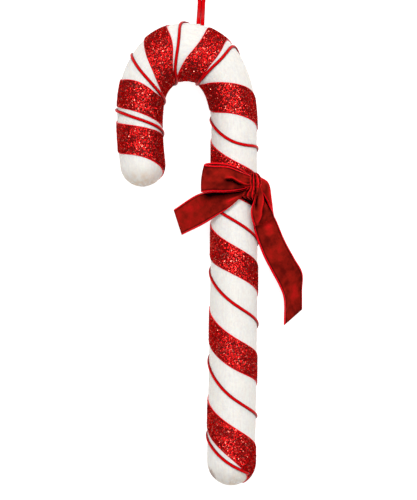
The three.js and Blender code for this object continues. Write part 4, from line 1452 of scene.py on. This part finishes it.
def right_loop_shape(u, v):
    """The front is folded along a ridge, with a hollow on either side of it."""
    lift, painted_light = folded(RIGHT_FRONT_FOLDS, u, v)
    bulge = RIGHT_BULGE * (1 - v * v)
    front = 1 - smoothstep(u, *RIGHT_FRONT_ENDS)
    back_painted_light = folded(RIGHT_BACK_FOLDS, u, v)[1]
    return (lift + bulge) * front, painted_light * front + back_painted_light


def left_tail_shape(u, v):
    """The tail waves gently, with painted shade under the loop above a raised fold."""
    lift, painted_light = folded(LEFT_TAIL_FOLDS, u, v)
    return lift + LEFT_TAIL_WAVE * np.sin(LEFT_TAIL_WAVES * u * np.pi) * v * v, painted_light


def right_tail_shape(u, v):
    """The tail waves along both edges, with one long soft fold down from the loop."""
    lift, painted_light = folded(RIGHT_TAIL_FOLDS, u, v)
    return lift + RIGHT_TAIL_WAVE * np.sin(RIGHT_TAIL_WAVES * u * np.pi) * v * v, painted_light


class CANE_OT_bow_loops(bpy.types.Operator):
    """The bow's two loops of velvet ribbon, cupped and pleated towards the knot"""

    bl_idname = "cane.bow_loops"
    bl_label = "Bow loops"

    def execute(self, context):
        settings = context.scene.cane_velvet
        for side, rows, shape in (
            ("left", LEFT_LOOP, left_loop_shape), ("right", RIGHT_LOOP, right_loop_shape),
        ):
            velvet_ribbon(
                f"velvet_loop_{side}", rows, shape, settings, [f"bow_loop_{side}"])
        return {"FINISHED"}


class CANE_OT_bow_tails(bpy.types.Operator):
    """The bow's two tails, which fall off the shaft to either side"""

    bl_idname = "cane.bow_tails"
    bl_label = "Bow tails"

    def execute(self, context):
        settings = context.scene.cane_velvet
        for side, rows, shape in (
            ("left", LEFT_TAIL, left_tail_shape), ("right", RIGHT_TAIL, right_tail_shape),
        ):
            velvet_ribbon(
                f"velvet_tail_{side}", rows, shape, settings, [f"bow_tail_{side}"])
        return {"FINISHED"}


class CANE_OT_bow_knot(bpy.types.Operator):
    """The gathered knot and the narrow band that ties the bow round the shaft"""

    bl_idname = "cane.bow_knot"
    bl_label = "Knot and tie band"

    def execute(self, context):
        settings = context.scene.cane_velvet
        self.add_knot(settings)
        self.add_band(settings)
        return {"FINISHED"}

    def add_knot(self, settings):
        """A rounded box with pleats along it, pinched at its waist and flared at its lower end."""
        angle = math.radians(KNOT_ANGLE)
        centre = on_cane(KNOT_STATION, angle, KNOT_LIFT)
        up = unit(centre - on_cane(KNOT_STATION, angle))
        along = np.array([0.0, 1.0, 0.0])
        across = np.cross(along, up)
        power = 2 / KNOT_SQUARENESS
        half_across, half_along, half_deep = KNOT_HALVES
        latitude = (np.pi * (np.arange(1, KNOT_RINGS + 1) / (KNOT_RINGS + 1) - 0.5))[:, None]
        a = (2 * np.pi * np.arange(KNOT_SIDES) / KNOT_SIDES)[None]
        y = signed_power(np.sin(latitude), power)
        ridge = np.zeros_like(y * a)
        for place in KNOT_RIDGES:
            wander = KNOT_RIDGE_WANDER * np.sin(KNOT_RIDGE_WAVES * y + place)
            off = (np.degrees(a) - place + wander + 180) % 360 - 180
            ridge = np.maximum(ridge, bell(off, KNOT_RIDGE_WIDTH))
        waist = KNOT_WAIST_DEPTH * bell(y - KNOT_WAIST_AT, KNOT_WAIST_WIDTH)
        pleat = 1 - KNOT_PLEAT_DEPTH * (1 - ridge) - waist
        flare = 1 + KNOT_FLARE * smoothstep(-y, *KNOT_FLARES_OVER) * np.clip(-np.cos(a), 0, 1)
        size = signed_power(np.cos(latitude), power) * pleat * flare
        points = (
            centre
            + along * (y * half_along * np.ones_like(a))[..., None]
            + across * (signed_power(np.cos(a), power) * size * half_across)[..., None]
            + up * (signed_power(np.sin(a), power) * size * half_deep)[..., None]
        )
        ends = [centre - along * half_along, centre + along * half_along]
        pinch = bell(y - KNOT_WAIST_AT, KNOT_PINCH_WIDTH)
        # Painted light: highlights on the pleats' ridges, brighter at the waist, painted shade between
        # the ridges and at the lower end, with random mottling; the two end points are painted into
        # full shade.
        painted_light = (
            KNOT_PAINTED_LIGHT["between"]
            + (KNOT_PAINTED_LIGHT["ridge"] + KNOT_PAINTED_LIGHT["pinch"] * pinch) * ridge
            + KNOT_PAINTED_LIGHT["dark_end"] * smoothstep(-y, *KNOT_DARK_OVER)
            + KNOT_PAINTED_LIGHT["mottling"] * grain(points, KNOT_MOTTLING_SIZE, seed=17)
        )
        on_edge = ridge[:-1] > KNOT_SELVEDGE_ABOVE
        faces = tube_faces(KNOT_RINGS, KNOT_SIDES)
        face_slots = np.zeros(len(faces), bool)
        face_slots[: on_edge.size] = on_edge.ravel()
        new_piece(
            "velvet_knot", stacked(points, ends), faces, shared_velvet(settings),
            ["bow_knot"], face_slots=face_slots,
            marks={"painted_light_and_shade": np.append(np.clip(painted_light, -1, 1).ravel(), [-1.0, -1.0])})

    def add_band(self, settings):
        """A narrow folded band round the shaft, with both ends tucked into the knot."""
        angles = np.radians(np.linspace(TIE_ANGLES[0], TIE_ANGLES[1] + TIE_TUCK, TIE_STEPS))[:, None]
        v = np.linspace(-1, 1, TIE_COLUMNS)[None]
        middle, half = sum(TIE_STATIONS) / 2, (TIE_STATIONS[1] - TIE_STATIONS[0]) / 2
        spread = TIE_SPREAD * smoothstep(np.degrees(angles), *TIE_SPREAD_ANGLES) * (1 + v) / 2
        station = middle + half * v + spread
        lift = TIE_LIFT + TIE_PLEAT_HEIGHT * np.cos(TIE_PLEATS * np.pi * v)
        body = settings.thickness / MM * rounded(v, TIE_SQUARENESS, TIE_THINNEST)
        outer = above(on_cane(station, angles, lift + body), 0.0)
        inner = above(on_cane(station, angles, lift), TIE_FLATTENED)
        # Painted shade over the whole band, darkest where it spreads into the knot.
        painted_light = TIE_PAINTED_SHADE - spread / TIE_SPREAD
        faces, _ = sheet_faces(TIE_STEPS, TIE_COLUMNS)
        new_piece(
            "velvet_tie_band", stacked(outer, inner), faces, shared_velvet(settings)[:1],
            ["bow_tie_band"],
            marks={"painted_light_and_shade": np.tile(painted_light.ravel(), 2)})


# ------------------------------------------------------------------ panel and registration


class CANE_PT_ornament(bpy.types.Panel):
    """Makes the ornament's pieces one by one"""

    bl_idname = "CANE_PT_ornament"
    bl_label = "Candy Cane Ornament"
    bl_space_type = "VIEW_3D"
    bl_region_type = "UI"
    bl_category = "Candy Cane"

    def draw(self, context):
        for group in SETTINGS:
            box = self.layout.box()
            box.label(text=group.replace("cane_", "").capitalize())
            settings = getattr(context.scene, group)
            for name in settings.__annotations__:
                box.prop(settings, name)
        for operator in OPERATORS:
            self.layout.operator(operator.bl_idname)


SETTINGS = {
    "cane_stage": StageSettings,
    "cane_foam": FoamSettings,
    "cane_glitter": GlitterSettings,
    "cane_cord": CordSettings,
    "cane_velvet": VelvetSettings,
}
OPERATORS = [
    CANE_OT_stage, CANE_OT_hanger, CANE_OT_foam, CANE_OT_glitter_ribbon, CANE_OT_glitter_flakes,
    CANE_OT_satin_cord, CANE_OT_bow_knot, CANE_OT_bow_loops, CANE_OT_bow_tails,
]
CLASSES = [*SETTINGS.values(), *OPERATORS, CANE_PT_ornament]


def register():
    for cls in CLASSES:
        bpy.utils.register_class(cls)
    for name, group in SETTINGS.items():
        setattr(bpy.types.Scene, name, PointerProperty(type=group))


def unregister():
    for name in SETTINGS:
        delattr(bpy.types.Scene, name)
    for cls in reversed(CLASSES):
        bpy.utils.unregister_class(cls)


def main():
    """Makes every piece in order."""
    register()
    for operator in OPERATORS:
        group, name = operator.bl_idname.split(".")
        getattr(getattr(bpy.ops, group), name)()


if __name__ == "__main__":
    main()
